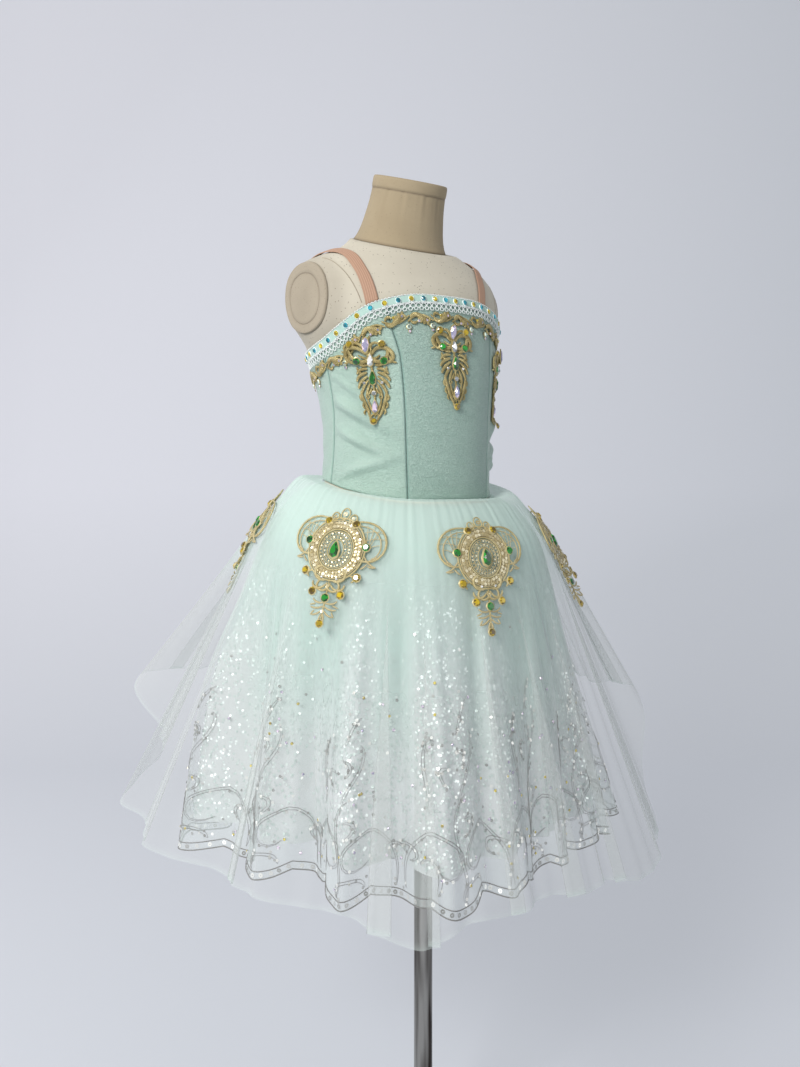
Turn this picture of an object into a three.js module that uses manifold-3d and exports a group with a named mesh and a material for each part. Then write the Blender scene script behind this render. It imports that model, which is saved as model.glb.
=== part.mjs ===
// A ballet tutu for a child of six or seven, on a limbless dress form with a pole and a round base.
// Millimetres, +Z up. The front faces -Y and the wearer's right is at -X.
// The origin is the centre of the base's underside, on the axis of the pole.
// Angles are degrees round the body: 0 is the centre front and 90 is the wearer's left.

import * as THREE from 'three';
import { mergeVertices } from 'three/addons/utils/BufferGeometryUtils.js';
import Module from 'manifold-3d';

const wasm = await Module();
wasm.setup();

// Stand
const BASE_RADIUS = 135;
const BASE_RIM = 5;
const BASE_CROWN = 11;
const COLLAR_RADIUS = 17;
const COLLAR_TOP = 42;
const SOCKET_FLOOR = 5;
const POLE_RADIUS = 10;
const SLIDE = 0.3;

// Dress form
const FORM_BOTTOM = 600;
const FORM_COLUMNS = 36;
const ROUNDNESS = 2.05;
const PLATE_FACE = 114.3;
const PLATE_THICK = 3;
const NECK_FOOT = { y: 43.5, z: 1007 };
const NECK_LEAN = 17;
const NECK_HEIGHT = 72;
const NECK_SEGMENTS = 28;
const BEYOND = 300;

// Garment
const SEAM_GAP = 0.3;
const LAID_GAP = 0.8;
const FORM_REACH = 90;
const EASE = 1.2;
const SATIN = 1.5;
const PANEL_ROWS = 9;
const TULLE = 1.2;
const STRAP_WIDTH = 11;
const STRAP_THICK = 1.2;
const STRAP_OUT = 1.4;
const STRAP_FOOT = 1;
const TRIM_COLUMNS = 72;
const LACE_THICK = 1;
const LACE_DEEP = 16;
const LACE_PROUD = 1.5;
const LACE_LOOP = 1.6;
const GARLAND_UNDER = 24;
const GARLAND_THICK = 2.2;
const GARLAND_HALF = 6;
const GARLAND_END = 176;
const GARLAND_SWAY = 1.6;
const GARLAND_THIN = 2.6;
const GARLAND_WIDE = 4.5;
const GARLAND_UNIT = 14;
const OVER_GARLAND = 3.3;
const NET_START = 3;
const NET_FALL = 372;
const NET_HEM = 356;
const SCALLOP = 9;
const SCALLOPS = 24;
const SEQUIN_HEM = 388;
const MEAN_REACH = 205;
const LAYER_GAP = 4.2;
const LAYER_SPREAD = 7;
const OVERLAY_GAP = 3.5;
const LAYER_RAMP = 12;
const MEDALLION_THICK = 3;
const MEDALLION_LENGTH = 124;
const MEDALLION_SLANT = 0.9;
const PENDANT_THICK = 2.6;
const EDGE_SHARE = 0.55;
const FOLD_GROWTH = 1.7;
const FOLD_KNEE = 0.08;
const SKIRT_COLUMNS = 90;
const SKIRT_RINGS = [0.5, 12, 36, 90, 190];
const OVERLAY_RINGS = [0.8, 5, 12, 36, 90, 190];
const PUFF = 46;
const PUFF_FALL = 13;
const PUFF_RISE = { front: 4, back: 12, at: 8 };

// The form's level sections: half its width, and where its widest line, front and back lie in Y.
const FORM_SECTIONS = [
  { z: 600, half: 98, middle: 34, front: -46, back: 124 },
  { z: 640, half: 104, middle: 34, front: -53, back: 130 },
  { z: 690, half: 99, middle: 34, front: -56, back: 125 },
  { z: 727, half: 92, middle: 34, front: -56, back: 119 },
  { z: 748, half: 90, middle: 34, front: -57, back: 116.5 },
  { z: 785, half: 89, middle: 34, front: -58, back: 114 },
  { z: 820, half: 92, middle: 34, front: -57.5, back: 116 },
  { z: 850, half: 98, middle: 36, front: -56.5, back: 120 },
  { z: 872, half: 104, middle: 39, front: -54.5, back: 123 },
  { z: 886, half: 107.5, middle: 44, front: -52.5, back: 125 },
  { z: 898, half: 112.5, middle: 50, front: -50, back: 127 },
  { z: 915, half: 123, middle: 56, front: -46, back: 130 },
  { z: 937, half: 130.5, middle: 60, front: -41, back: 131 },
  { z: 955, half: 130.5, middle: 61, front: -34, back: 129 },
  { z: 968, half: 125, middle: 61, front: -26, back: 124 },
  { z: 980, half: 112, middle: 58, front: -19, back: 115 },
  { z: 990, half: 91, middle: 56, front: -12, back: 111 },
  { z: 1000, half: 69, middle: 53, front: -7, back: 107 },
  { z: 1014, half: 54, middle: 49, front: -3, back: 100 },
  { z: 1034, half: 47, middle: 46, front: 3, back: 92 },
];

// The neck block's outline, up from its seat.
const NECK_OUTLINE = [
  { up: 0, radius: 52.5 },
  { up: 5, radius: 49.8 },
  { up: 14, radius: 46.8 },
  { up: 28, radius: 44 },
  { up: 45, radius: 41.5 },
  { up: 58.4, radius: 40.4 },
  { up: 58.8, radius: 41 },
  { up: 70.5, radius: 41.2 },
  { up: 72, radius: 39.8 },
];

// The bodice's two edges, the same on both halves.
const WAIST_LINE = [
  { at: 0, z: 726 },
  { at: 34, z: 726.5 },
  { at: 52, z: 730 },
  { at: 77, z: 737 },
  { at: 100, z: 744.5 },
  { at: 125, z: 748 },
  { at: 180, z: 746 },
];
const TOP_LINE = [
  { at: 0, z: 938.5 },
  { at: 16, z: 938.2 },
  { at: 27, z: 936.3 },
  { at: 42, z: 929 },
  { at: 50, z: 922 },
  { at: 63, z: 906.5 },
  { at: 80, z: 892 },
  { at: 103, z: 882.5 },
  { at: 130, z: 880.5 },
  { at: 180, z: 880 },
];

// The seams between the bodice's panels, at its top and at its waist.
const SEAMS = {
  princess: { top: 38, waist: 34 },
  side: { top: 84, waist: 94 },
  back: { top: 132, waist: 136 },
  closing: { top: 180, waist: 180 },
};
const PANELS = [
  { piece: 'front_side', from: 'princess', to: 'side', columns: 6 },
  { piece: 'side', from: 'side', to: 'back', columns: 5 },
  { piece: 'back', from: 'back', to: 'closing', columns: 5 },
];

// Folds that drag across the front side panels, from the side seam down to the princess seam or up to it.
const DRAG_FOLDS = [
  { fromAngle: 92, fromZ: 866, toAngle: 52, toZ: 822, half: 8, rise: 1.6 },
  { fromAngle: 94, fromZ: 838, toAngle: 34, toZ: 788, half: 11, rise: 2.6 },
  { fromAngle: 94, fromZ: 806, toAngle: 34, toZ: 764, half: 9, rise: 2.2 },
  { fromAngle: 92, fromZ: 748, toAngle: 33, toZ: 772, half: 9, rise: 1.8 },
];

// How far the embroidered net has spread from the waist, for each fall below its own top edge.
const NET_SPREAD = [
  { fall: 0, out: 0 },
  { fall: 2, out: 9 },
  { fall: 6, out: 21 },
  { fall: 18, out: 37 },
  { fall: 44, out: 54 },
  { fall: 81, out: 65 },
  { fall: 129, out: 74 },
  { fall: 186, out: 85 },
  { fall: 244, out: 95 },
  { fall: 316, out: 105 },
  { fall: 396, out: 115 },
];

// The net's folds: the reach of each crest and hollow at the hem, and the fall where it is full.
const NET_FOLDS = [
  { at: -166, reach: 196, full: 372 },
  { at: -151, reach: 238, full: 372 },
  { at: -134, reach: 196, full: 300 },
  { at: -114, reach: 246, full: 200 },
  { at: -99, reach: 182, full: 240 },
  { at: -83, reach: 204, full: 330 },
  { at: -69, reach: 156, full: 372 },
  { at: -51, reach: 220, full: 372 },
  { at: -39, reach: 180, full: 372 },
  { at: -27, reach: 242, full: 372 },
  { at: -12, reach: 198, full: 372 },
  { at: -5, reach: 212, full: 372 },
  { at: 10, reach: 182, full: 372 },
  { at: 20, reach: 196, full: 372 },
  { at: 31, reach: 184, full: 372 },
  { at: 48, reach: 222, full: 400 },
  { at: 57, reach: 212, full: 400 },
  { at: 69, reach: 256, full: 400 },
  { at: 83, reach: 196, full: 372 },
  { at: 97, reach: 238, full: 372 },
  { at: 112, reach: 190, full: 372 },
  { at: 128, reach: 242, full: 372 },
  { at: 143, reach: 198, full: 372 },
  { at: 160, reach: 245, full: 372 },
  { at: 177, reach: 204, full: 372 },
];

// The overlay's points and hollows: how far each reaches, and how far it falls.
const OVERLAY_FOLDS = [
  { at: -168, reach: 262, fall: 246 },
  { at: -155, reach: 290, fall: 236 },
  { at: -141, reach: 334, fall: 240 },
  { at: -125, reach: 266, fall: 292 },
  { at: -113, reach: 305, fall: 335 },
  { at: -107, reach: 284, fall: 344 },
  { at: -100, reach: 284, fall: 362 },
  { at: -84, reach: 244, fall: 364 },
  { at: -69, reach: 252, fall: 366 },
  { at: -50, reach: 234, fall: 370 },
  { at: -33, reach: 250, fall: 388 },
  { at: -22, reach: 240, fall: 372 },
  { at: -10, reach: 240, fall: 370 },
  { at: 0, reach: 230, fall: 366 },
  { at: 10, reach: 242, fall: 372 },
  { at: 20, reach: 240, fall: 372 },
  { at: 30, reach: 262, fall: 382 },
  { at: 44, reach: 276, fall: 374 },
  { at: 54, reach: 268, fall: 320 },
  { at: 64, reach: 277, fall: 236 },
  { at: 80, reach: 256, fall: 238 },
  { at: 100, reach: 288, fall: 244 },
  { at: 120, reach: 262, fall: 236 },
  { at: 140, reach: 292, fall: 246 },
  { at: 158, reach: 266, fall: 238 },
  { at: 176, reach: 288, fall: 248 },
];

// Half the width of the flat applique pieces, for each distance down from their tops.
const MEDALLION_OUTLINE = [
  { down: 0, half: 7 },
  { down: 6, half: 16 },
  { down: 11, half: 38 },
  { down: 22, half: 47 },
  { down: 38, half: 47 },
  { down: 48, half: 40 },
  { down: 60, half: 20 },
  { down: 68, half: 22 },
  { down: 78, half: 11 },
  { down: 88, half: 16 },
  { down: 102, half: 11 },
  { down: 112, half: 4.5 },
  { down: 124, half: 3.5 },
];
const PENDANT_OUTLINE = [
  { down: 0, half: 8 },
  { down: 5, half: 21 },
  { down: 13, half: 22 },
  { down: 20, half: 15 },
  { down: 28, half: 17 },
  { down: 36, half: 9 },
  { down: 46, half: 12 },
  { down: 60, half: 11 },
  { down: 70, half: 5 },
  { down: 86, half: 3 },
];
// How far each strap lies from the centre at the bodice's edge and on the shoulder.
const STRAPS = [
  { name: 'strap_right', side: -1, foot: 81, ridge: 89 },
  { name: 'strap_left', side: 1, foot: 54, ridge: 80 },
];
// How far each medallion stands off the overlay, more where the folds under it are sharper.
const MEDALLIONS = [
  { name: 'medallion_front', at: -4.5, start: 19, lean: -3, gap: 1.2 },
  { name: 'medallion_front_right', at: -60.5, start: 17, lean: -3, gap: 1.2 },
  { name: 'medallion_back_right', at: -122, start: 17, lean: 0, gap: 1.9 },
  { name: 'medallion_back', at: 178, start: 17, lean: 2, gap: 1.2 },
  { name: 'medallion_back_left', at: 118, start: 17, lean: 1, gap: 1.2 },
  { name: 'medallion_front_left', at: 57, start: 18, lean: 0, gap: 1.9 },
];
const PENDANTS = [
  { name: 'pendant_centre', at: -2, top: 909 },
  { name: 'pendant_right', at: -54, top: 893 },
  { name: 'pendant_left', at: 54, top: 893 },
];
const MEDALLION_HOLES = [
  { side: -33, down: 30, radius: 4.2 },
  { side: 33, down: 30, radius: 4.2 },
];
const PENDANT_HOLES = [
  { side: -13, down: 11, radius: 2.6 },
  { side: 13, down: 11, radius: 2.6 },
];

const FINISHES = {
  formCover: { color: 0xe1dacd, roughness: 0.9, metalness: 0 },
  neckCover: { color: 0xb4a891, roughness: 0.9, metalness: 0 },
  plateCover: { color: 0xa59b8c, roughness: 0.9, metalness: 0 },
  chrome: { color: 0xb8bcc0, roughness: 0.2, metalness: 1 },
  satin: { color: 0xbedccd, roughness: 0.35, metalness: 0 },
  lace: { color: 0xeef4f2, roughness: 0.8, metalness: 0 },
  elastic: { color: 0xc8967d, roughness: 0.7, metalness: 0 },
  gold: { color: 0xbea564, roughness: 0.45, metalness: 0.6 },
  overlay: { color: 0xe8f2ee, roughness: 0.9, metalness: 0 },
  net: { color: 0xc9d6d2, roughness: 0.9, metalness: 0 },
  sequins: { color: 0xa8d6c6, roughness: 0.4, metalness: 0 },
};

const degrees = (angle) => (angle * Math.PI) / 180;
const arcAngle = (length, radius) => (length / radius) * (180 / Math.PI);
const mix = (a, b, share) => a + (b - a) * share;
const bump = (x) => (Math.abs(x) < 1 ? Math.cos((x * Math.PI) / 2) ** 2 : 0);

/** A smooth maximum of two lengths, rounded over about `soft`. */
function upper(a, b, soft) {
  const lead = (a - b) / soft;
  return Math.abs(lead) > 20 ? Math.max(a, b) : b + soft * Math.log(1 + Math.exp(lead));
}

/** A smooth minimum of two shares that is 0 where the first is 0. */
const under = (a, b, soft) => (a > 0 ? -upper(-a, -b, soft) : 0);

/** One column of a table at any key, on a smooth curve through its rows. */
function tableValue(rows, key, column, at) {
  const last = rows.length - 1;
  if (at <= rows[0][key]) {
    return rows[0][column];
  }
  if (at >= rows[last][key]) {
    return rows[last][column];
  }
  const i = rows.findIndex((row, index) => at < rows[index + 1][key]);
  const slope = (k) => {
    const before = rows[Math.max(k - 1, 0)];
    const after = rows[Math.min(k + 1, last)];
    return (after[column] - before[column]) / (after[key] - before[key]);
  };
  const span = rows[i + 1][key] - rows[i][key];
  const s = (at - rows[i][key]) / span;
  const here = rows[i][column] * (2 * s ** 3 - 3 * s ** 2 + 1);
  const next = rows[i + 1][column] * (3 * s ** 2 - 2 * s ** 3);
  return here + next + span * (slope(i) * (s ** 3 - 2 * s ** 2 + s) + slope(i + 1) * (s ** 3 - s ** 2));
}

/** A table round the whole body, with rows carried past both its ends so that it closes. */
function closedTable(rows) {
  const turned = (row, turn) => ({ ...row, at: row.at + turn });
  const before = rows.slice(-3).map((row) => turned(row, -360));
  const after = rows.slice(0, 3).map((row) => turned(row, 360));
  return [...before, ...rows, ...after];
}

const NET_ROUND = closedTable(NET_FOLDS);
const OVERLAY_ROUND = closedTable(OVERLAY_FOLDS);

/** An angle brought between -180 and 180. */
function wrap(angle) {
  return ((((angle + 180) % 360) + 360) % 360) - 180;
}

const waistLine = (angle) => tableValue(WAIST_LINE, 'at', 'z', Math.abs(wrap(angle)));
const topLine = (angle) => tableValue(TOP_LINE, 'at', 'z', Math.abs(wrap(angle)));

/** The form's section at a height. */
function sectionAt(z) {
  const value = (column) => tableValue(FORM_SECTIONS, 'z', column, z);
  return {
    half: value('half'),
    middle: value('middle'),
    front: value('front'),
    back: value('back'),
  };
}

/** The distance from the section's middle to the form's skin, for an angle and a height. */
function formRadius(angle, z) {
  const { half, middle, front, back } = sectionAt(z);
  const across = Math.abs(Math.sin(degrees(angle)));
  const forward = Math.cos(degrees(angle));
  const depth = forward > 0 ? middle - front : back - middle;
  return ((across / half) ** ROUNDNESS + (Math.abs(forward) / depth) ** ROUNDNESS) ** (-1 / ROUNDNESS);
}

/** A point `out` from the form's skin. */
function formPoint(angle, z, out) {
  const radius = formRadius(angle, z) + out;
  const { middle } = sectionAt(z);
  return [radius * Math.sin(degrees(angle)), middle - radius * Math.cos(degrees(angle)), z];
}

/** How deep a point lies in the form: 1 on its skin and more outside. */
function formDepth(x, y, z) {
  const { half, middle, front, back } = sectionAt(z);
  const depth = y < middle ? middle - front : back - middle;
  return (Math.abs(x) / half) ** ROUNDNESS + (Math.abs(y - middle) / depth) ** ROUNDNESS;
}

/** A point on the form's skin moved `out` along the skin's own normal. */
function offsetFromSkin(x, y, z, out) {
  const step = 0.05;
  const normal = new THREE.Vector3(
    formDepth(x + step, y, z) - formDepth(x - step, y, z),
    formDepth(x, y + step, z) - formDepth(x, y - step, z),
    formDepth(x, y, z + step) - formDepth(x, y, z - step),
  ).normalize();
  return [x + normal.x * out, y + normal.y * out, z + normal.z * out];
}

/** A closed wall from a grid of points on its outer and inner faces; `round` joins its two sides. */
function wallGeometry(columns, rows, outer, inner, round) {
  const width = round ? columns : columns + 1;
  const positions = [];
  for (const face of [outer, inner]) {
    for (let j = 0; j <= rows; j += 1) {
      for (let i = 0; i < width; i += 1) {
        positions.push(...face(i / columns, j / rows));
      }
    }
  }
  const out = (i, j) => j * width + (i % width);
  const back = (i, j) => out(i, j) + width * (rows + 1);
  const faces = [];
  const quad = (a, b, c, d) => faces.push(a, b, c, a, c, d);
  for (let i = 0; i < columns; i += 1) {
    for (let j = 0; j < rows; j += 1) {
      quad(out(i, j), out(i + 1, j), out(i + 1, j + 1), out(i, j + 1));
      quad(back(i, j), back(i, j + 1), back(i + 1, j + 1), back(i + 1, j));
    }
    quad(out(i, rows), out(i + 1, rows), back(i + 1, rows), back(i, rows));
    quad(out(i + 1, 0), out(i, 0), back(i, 0), back(i + 1, 0));
  }
  for (let j = 0; j < rows && !round; j += 1) {
    quad(back(0, j), out(0, j), out(0, j + 1), back(0, j + 1));
    quad(out(columns, j), back(columns, j), back(columns, j + 1), out(columns, j + 1));
  }
  return indexedGeometry(positions, faces);
}

function indexedGeometry(positions, faces) {
  const geometry = new THREE.BufferGeometry();
  geometry.setAttribute('position', new THREE.Float32BufferAttribute(positions, 3));
  geometry.setIndex(faces);
  geometry.computeVertexNormals();
  return geometry;
}

/** A closed solid through level rings, with flat ends. */
function loftGeometry(heights, columns, place) {
  const positions = [];
  for (const z of heights) {
    for (let i = 0; i < columns; i += 1) {
      positions.push(...place((360 * i) / columns, z));
    }
  }
  const ends = [0, heights.length - 1].map((row) => {
    const { middle } = sectionAt(heights[row]);
    positions.push(0, middle, heights[row]);
    return positions.length / 3 - 1;
  });
  const faces = [];
  const ring = (i, j) => j * columns + (i % columns);
  for (let i = 0; i < columns; i += 1) {
    for (let j = 0; j < heights.length - 1; j += 1) {
      faces.push(ring(i, j), ring(i + 1, j), ring(i + 1, j + 1));
      faces.push(ring(i, j), ring(i + 1, j + 1), ring(i, j + 1));
    }
    faces.push(ring(i + 1, 0), ring(i, 0), ends[0]);
    faces.push(ring(i, heights.length - 1), ring(i + 1, heights.length - 1), ends[1]);
  }
  return indexedGeometry(positions, faces);
}

/** A closed geometry as a solid for cutting. */
function solidOf(geometry) {
  const bare = geometry.clone();
  bare.deleteAttribute('normal');
  bare.deleteAttribute('uv');
  const merged = mergeVertices(bare, 1e-4);
  return new wasm.Manifold(
    new wasm.Mesh({
      numProp: 3,
      vertProperties: new Float32Array(merged.getAttribute('position').array),
      triVerts: new Uint32Array(merged.getIndex().array),
    }),
  );
}

function geometryOf(solid) {
  const mesh = solid.getMesh();
  return indexedGeometry(Array.from(mesh.vertProperties), Array.from(mesh.triVerts));
}

/** A box between two corners, for cutting. */
function boxSolid(low, high) {
  const size = high.map((value, axis) => value - low[axis]);
  const box = new THREE.BoxGeometry(...size);
  box.translate(...low.map((value, axis) => value + size[axis] / 2));
  return solidOf(box);
}

const group = new THREE.Group();

function add(name, geometry, finish) {
  const mesh = new THREE.Mesh(geometry, new THREE.MeshStandardMaterial(FINISHES[finish]));
  mesh.name = name;
  group.add(mesh);
  return mesh;
}

/** A turned solid on +Z from its outline. */
function turned(outline, segments) {
  const geometry = new THREE.LatheGeometry(
    outline.map(([radius, height]) => new THREE.Vector2(radius, height)),
    segments,
  );
  geometry.rotateX(Math.PI / 2);
  return geometry;
}

function addStand() {
  const base = turned(
    [
      [0, 0],
      [BASE_RADIUS, 0],
      [BASE_RADIUS, BASE_RIM],
      [BASE_RADIUS - 8, BASE_RIM + 2.5],
      [COLLAR_RADIUS + 8, BASE_CROWN],
      [COLLAR_RADIUS, BASE_CROWN + 5],
      [COLLAR_RADIUS, COLLAR_TOP],
      [POLE_RADIUS + SLIDE, COLLAR_TOP],
      [POLE_RADIUS + SLIDE, SOCKET_FLOOR],
      [0, SOCKET_FLOOR],
    ],
    32,
  );
  add('stand_base', base, 'chrome');
  const pole = turned(
    [
      [0, SOCKET_FLOOR],
      [POLE_RADIUS, SOCKET_FLOOR],
      [POLE_RADIUS, FORM_BOTTOM],
      [0, FORM_BOTTOM],
    ],
    20,
  );
  add('stand_pole', pole, 'chrome');
}

/** The tilted space over the neck's seat, `raise` above it, for cutting the shoulders. */
function aboveNeckSeat(raise) {
  const block = new THREE.BoxGeometry(2 * BEYOND, 2 * BEYOND, BEYOND);
  block.translate(0, 0, BEYOND / 2 + raise);
  block.rotateX(degrees(NECK_LEAN));
  block.translate(0, NECK_FOOT.y, NECK_FOOT.z);
  return solidOf(block);
}

function addForm() {
  const heights = FORM_SECTIONS.flatMap((row, i) => {
    const above = FORM_SECTIONS[i + 1];
    return above && row.z > 800 && row.z < 930 ? [row.z, (row.z + above.z) / 2] : [row.z];
  });
  const body = solidOf(loftGeometry(heights, FORM_COLUMNS, (angle, z) => formPoint(angle, z, 0)));
  const between = (from, to) => boxSolid([from, -BEYOND, 0], [to, BEYOND, 2 * FORM_BOTTOM]);
  const trunk = body.intersect(between(-PLATE_FACE, PLATE_FACE)).subtract(aboveNeckSeat(-SEAM_GAP));
  add('form_torso', geometryOf(trunk), 'formCover');
  const right = body.intersect(between(-PLATE_FACE - PLATE_THICK, -PLATE_FACE));
  add('form_arm_plate_right', geometryOf(right), 'plateCover');
  const left = body.intersect(between(PLATE_FACE, PLATE_FACE + PLATE_THICK));
  add('form_arm_plate_left', geometryOf(left), 'plateCover');

  const outline = NECK_OUTLINE.map(({ up, radius }) => [radius, up]);
  const neck = add('form_neck', turned([[0, 0], ...outline, [0, NECK_HEIGHT]], NECK_SEGMENTS), 'neckCover');
  neck.rotation.x = degrees(NECK_LEAN);
  neck.position.set(0, NECK_FOOT.y, NECK_FOOT.z);
}

/** The rise of the drag folds at a place on the bodice. */
function dragFold(angle, z) {
  const round = Math.abs(wrap(angle));
  return DRAG_FOLDS.reduce((rise, fold) => {
    const along = (round - fold.fromAngle) / (fold.toAngle - fold.fromAngle);
    const across = (z - mix(fold.fromZ, fold.toZ, along)) / fold.half;
    return rise + fold.rise * bump(2 * along - 1) * bump(across);
  }, 0);
}

/** A panel of the bodice between two seams, given as signed angles at the waist and the top. */
function addPanel(name, from, to, columns) {
  const place = (out) => (u, v) => {
    const start = mix(from.waist, from.top, v);
    const end = mix(to.waist, to.top, v);
    const gap = arcAngle(SEAM_GAP / 2, FORM_REACH);
    const angle = mix(start + gap, end - gap, u);
    const z = mix(waistLine(angle), topLine(angle), v);
    const onEdge = u === 0 || u === 1 || v === 0 || v === 1;
    const fold = out > EASE && !onEdge ? dragFold(angle, z) : 0;
    return formPoint(angle, z, out + fold);
  };
  add(name, wallGeometry(columns, PANEL_ROWS, place(EASE + SATIN), place(EASE), false), 'satin');
}

function addBodice() {
  const mirrored = (seam) => ({ top: -seam.top, waist: -seam.waist });
  addPanel('bodice_front_centre', mirrored(SEAMS.princess), SEAMS.princess, 7);
  for (const { piece, from, to, columns } of PANELS) {
    addPanel(`bodice_${piece}_left`, SEAMS[from], SEAMS[to], columns);
    addPanel(`bodice_${piece}_right`, mirrored(SEAMS[to]), mirrored(SEAMS[from]), columns);
  }
}

/** The neckline lace, whose lower edge runs in loops; it opens at the centre back. */
function addLace() {
  const end = 180 - arcAngle(SEAM_GAP, FORM_REACH);
  const place = (out) => (u, v) => {
    const angle = mix(-end, end, u);
    const loop = Math.round(u * TRIM_COLUMNS) % 2 ? LACE_LOOP : 0;
    const top = topLine(angle);
    return formPoint(angle, mix(top - LACE_DEEP + loop, top + LACE_PROUD, v), out);
  };
  const inner = EASE + SATIN + LAID_GAP;
  const wall = wallGeometry(TRIM_COLUMNS, 1, place(inner + LACE_THICK), place(inner), false);
  add('neckline_lace', wall, 'lace');
}

/** The angle where the skin is `width` from the centre, before or behind the widest line. */
function angleAtWidth(width, behind) {
  let low = behind ? 180 : 0;
  let high = behind ? 100 : 80;
  for (let step = 0; step < 40; step += 1) {
    const angle = (low + high) / 2;
    const reached = formPoint(angle, topLine(angle), 0)[0];
    if (reached < width) {
      low = angle;
    } else {
      high = angle;
    }
  }
  return low;
}

/** The height where the shoulder is `width` from the centre. */
function ridgeHeight(width) {
  let low = 940;
  let high = 1034;
  for (let step = 0; step < 40; step += 1) {
    const z = (low + high) / 2;
    if (sectionAt(z).half > width) {
      low = z;
    } else {
      high = z;
    }
  }
  return low;
}

/** A point of a strap's path over the shoulder: `along` runs from the front edge to the back one. */
function strapPoint(strap, across, along, out) {
  const behind = along > 0.5;
  const rise = behind ? 2 * (1 - along) : 2 * along;
  const width = mix(strap.foot, strap.ridge, Math.sin((rise * Math.PI) / 2)) + across;
  const foot = topLine(angleAtWidth(width, behind)) + STRAP_FOOT;
  const z = mix(foot, ridgeHeight(width) - 0.02, Math.sin((rise * Math.PI) / 2));
  const { half, middle, front, back } = sectionAt(z);
  const share = Math.max(1 - (width / half) ** ROUNDNESS, 0) ** (1 / ROUNDNESS);
  const y = behind ? middle + (back - middle) * share : middle - (middle - front) * share;
  return offsetFromSkin(width, y, z, out);
}

function addStraps() {
  for (const strap of STRAPS) {
    const { side } = strap;
    const place = (out) => (u, v) => {
      const across = mix(-STRAP_WIDTH / 2, STRAP_WIDTH / 2, side > 0 ? u : 1 - u);
      const [x, y, z] = strapPoint(strap, across, v, out);
      return [side * x, y, z];
    };
    const wall = wallGeometry(2, 16, place(STRAP_OUT + STRAP_THICK), place(STRAP_OUT), false);
    add(strap.name, wall, 'elastic');
  }
}

/** The gold garland, a row of leaf-shaped scrolls under the lace. */
function addGarland() {
  const place = (lift) => (u, v) => {
    const angle = mix(-GARLAND_END, GARLAND_END, u);
    const turn = degrees((angle * 360) / GARLAND_UNIT / 2);
    const middle = topLine(angle) - GARLAND_UNDER + GARLAND_SWAY * Math.sin(turn);
    const half = mix(GARLAND_THIN, GARLAND_WIDE, Math.abs(Math.cos(turn)));
    return formPoint(angle, middle + half * (2 * v - 1), EASE + SATIN + LAID_GAP + lift);
  };
  add('bodice_garland', wallGeometry(TRIM_COLUMNS, 1, place(GARLAND_THICK), place(0), false), 'gold');
}

/** The net's radius round the body's axis, for an angle and a fall below the waist. */
function netRadius(angle, fall) {
  const low = Math.max(fall, 0);
  const waist = formRadius(angle, waistLine(angle)) + EASE;
  const fold = tableValue(NET_ROUND, 'at', 'reach', wrap(angle)) - MEAN_REACH;
  const full = tableValue(NET_ROUND, 'at', 'full', wrap(angle));
  const share = under(low / full, 1, FOLD_KNEE) / under(NET_FALL / full, 1, FOLD_KNEE);
  const spread = tableValue(NET_SPREAD, 'fall', 'out', fall - SKIRT_RINGS[0] - NET_START);
  return waist + spread + fold * share ** FOLD_GROWTH;
}

/** The sequinned layer lies inside the net and follows its folds. */
function sequinRadius(angle, fall) {
  const top = SKIRT_RINGS[0] + 2 * NET_START;
  const start = Math.min(Math.max(fall - top, 0) / LAYER_RAMP, 1);
  return netRadius(angle, fall - NET_START) - LAYER_GAP * start - (LAYER_SPREAD * fall) / NET_FALL;
}

/** The overlay stands out straight from a puff at the waist, and never sinks into the net. */
function overlayRadius(angle, fall) {
  const waist = formRadius(angle, waistLine(angle)) + EASE;
  const reach = tableValue(OVERLAY_ROUND, 'at', 'reach', wrap(angle));
  const whole = tableValue(OVERLAY_ROUND, 'at', 'fall', wrap(angle));
  const low = Math.max(fall - OVERLAY_RINGS[0], 0);
  const puff = PUFF * (1 - Math.exp(-low / PUFF_FALL));
  const straight = waist + puff + ((reach - waist - PUFF) * low) / whole;
  const start = Math.min(low / LAYER_RAMP, 1);
  return upper(straight, netRadius(angle, fall + NET_START) + OVERLAY_GAP * start, 3 * start + 0.01);
}

/** How far the overlay's puff stands up over its own fall, most at the back. */
function puffRise(angle, fall) {
  const share = fall / PUFF_RISE.at;
  const height = mix(PUFF_RISE.front, PUFF_RISE.back, (1 - Math.cos(degrees(angle))) / 2);
  return height * share ** 3 * Math.exp(3 - 3 * share);
}

/** A point on a skirt layer, `out` from its outer face along the slope's own normal. */
function skirtPoint(radiusAt, angle, fall, out) {
  const rise = (at) => (radiusAt === overlayRadius ? puffRise(angle, at) : 0);
  const step = 0.5;
  const spread = (radiusAt(angle, fall + step) - radiusAt(angle, fall - step)) / (2 * step);
  const drop = 1 - (rise(fall + step) - rise(fall - step)) / (2 * step);
  const slope = Math.hypot(spread, drop);
  const z = waistLine(angle) - fall + rise(fall) + (out * spread) / slope;
  const skin = formRadius(angle, Math.min(z, waistLine(angle))) + 0.4;
  const radius = Math.max(radiusAt(angle, fall) + (out * drop) / slope, skin);
  const { middle } = sectionAt(Math.min(z, 780));
  return [radius * Math.sin(degrees(angle)), middle - radius * Math.cos(degrees(angle)), z];
}

/** A skirt layer from its hem up to its waist, with closer rings near the waist. */
function addSkirtLayer(name, finish, radiusAt, rings, lower, fallAt) {
  const rows = rings.length;
  const place = (out) => (u, v) => {
    const ring = Math.round((1 - v) * rows);
    const fall = ring === rows ? fallAt(360 * u) : rings[ring] + lower;
    return skirtPoint(radiusAt, 360 * u, fall, out);
  };
  add(name, wallGeometry(SKIRT_COLUMNS, rows, place(0), place(-TULLE), true), finish);
}

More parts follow.
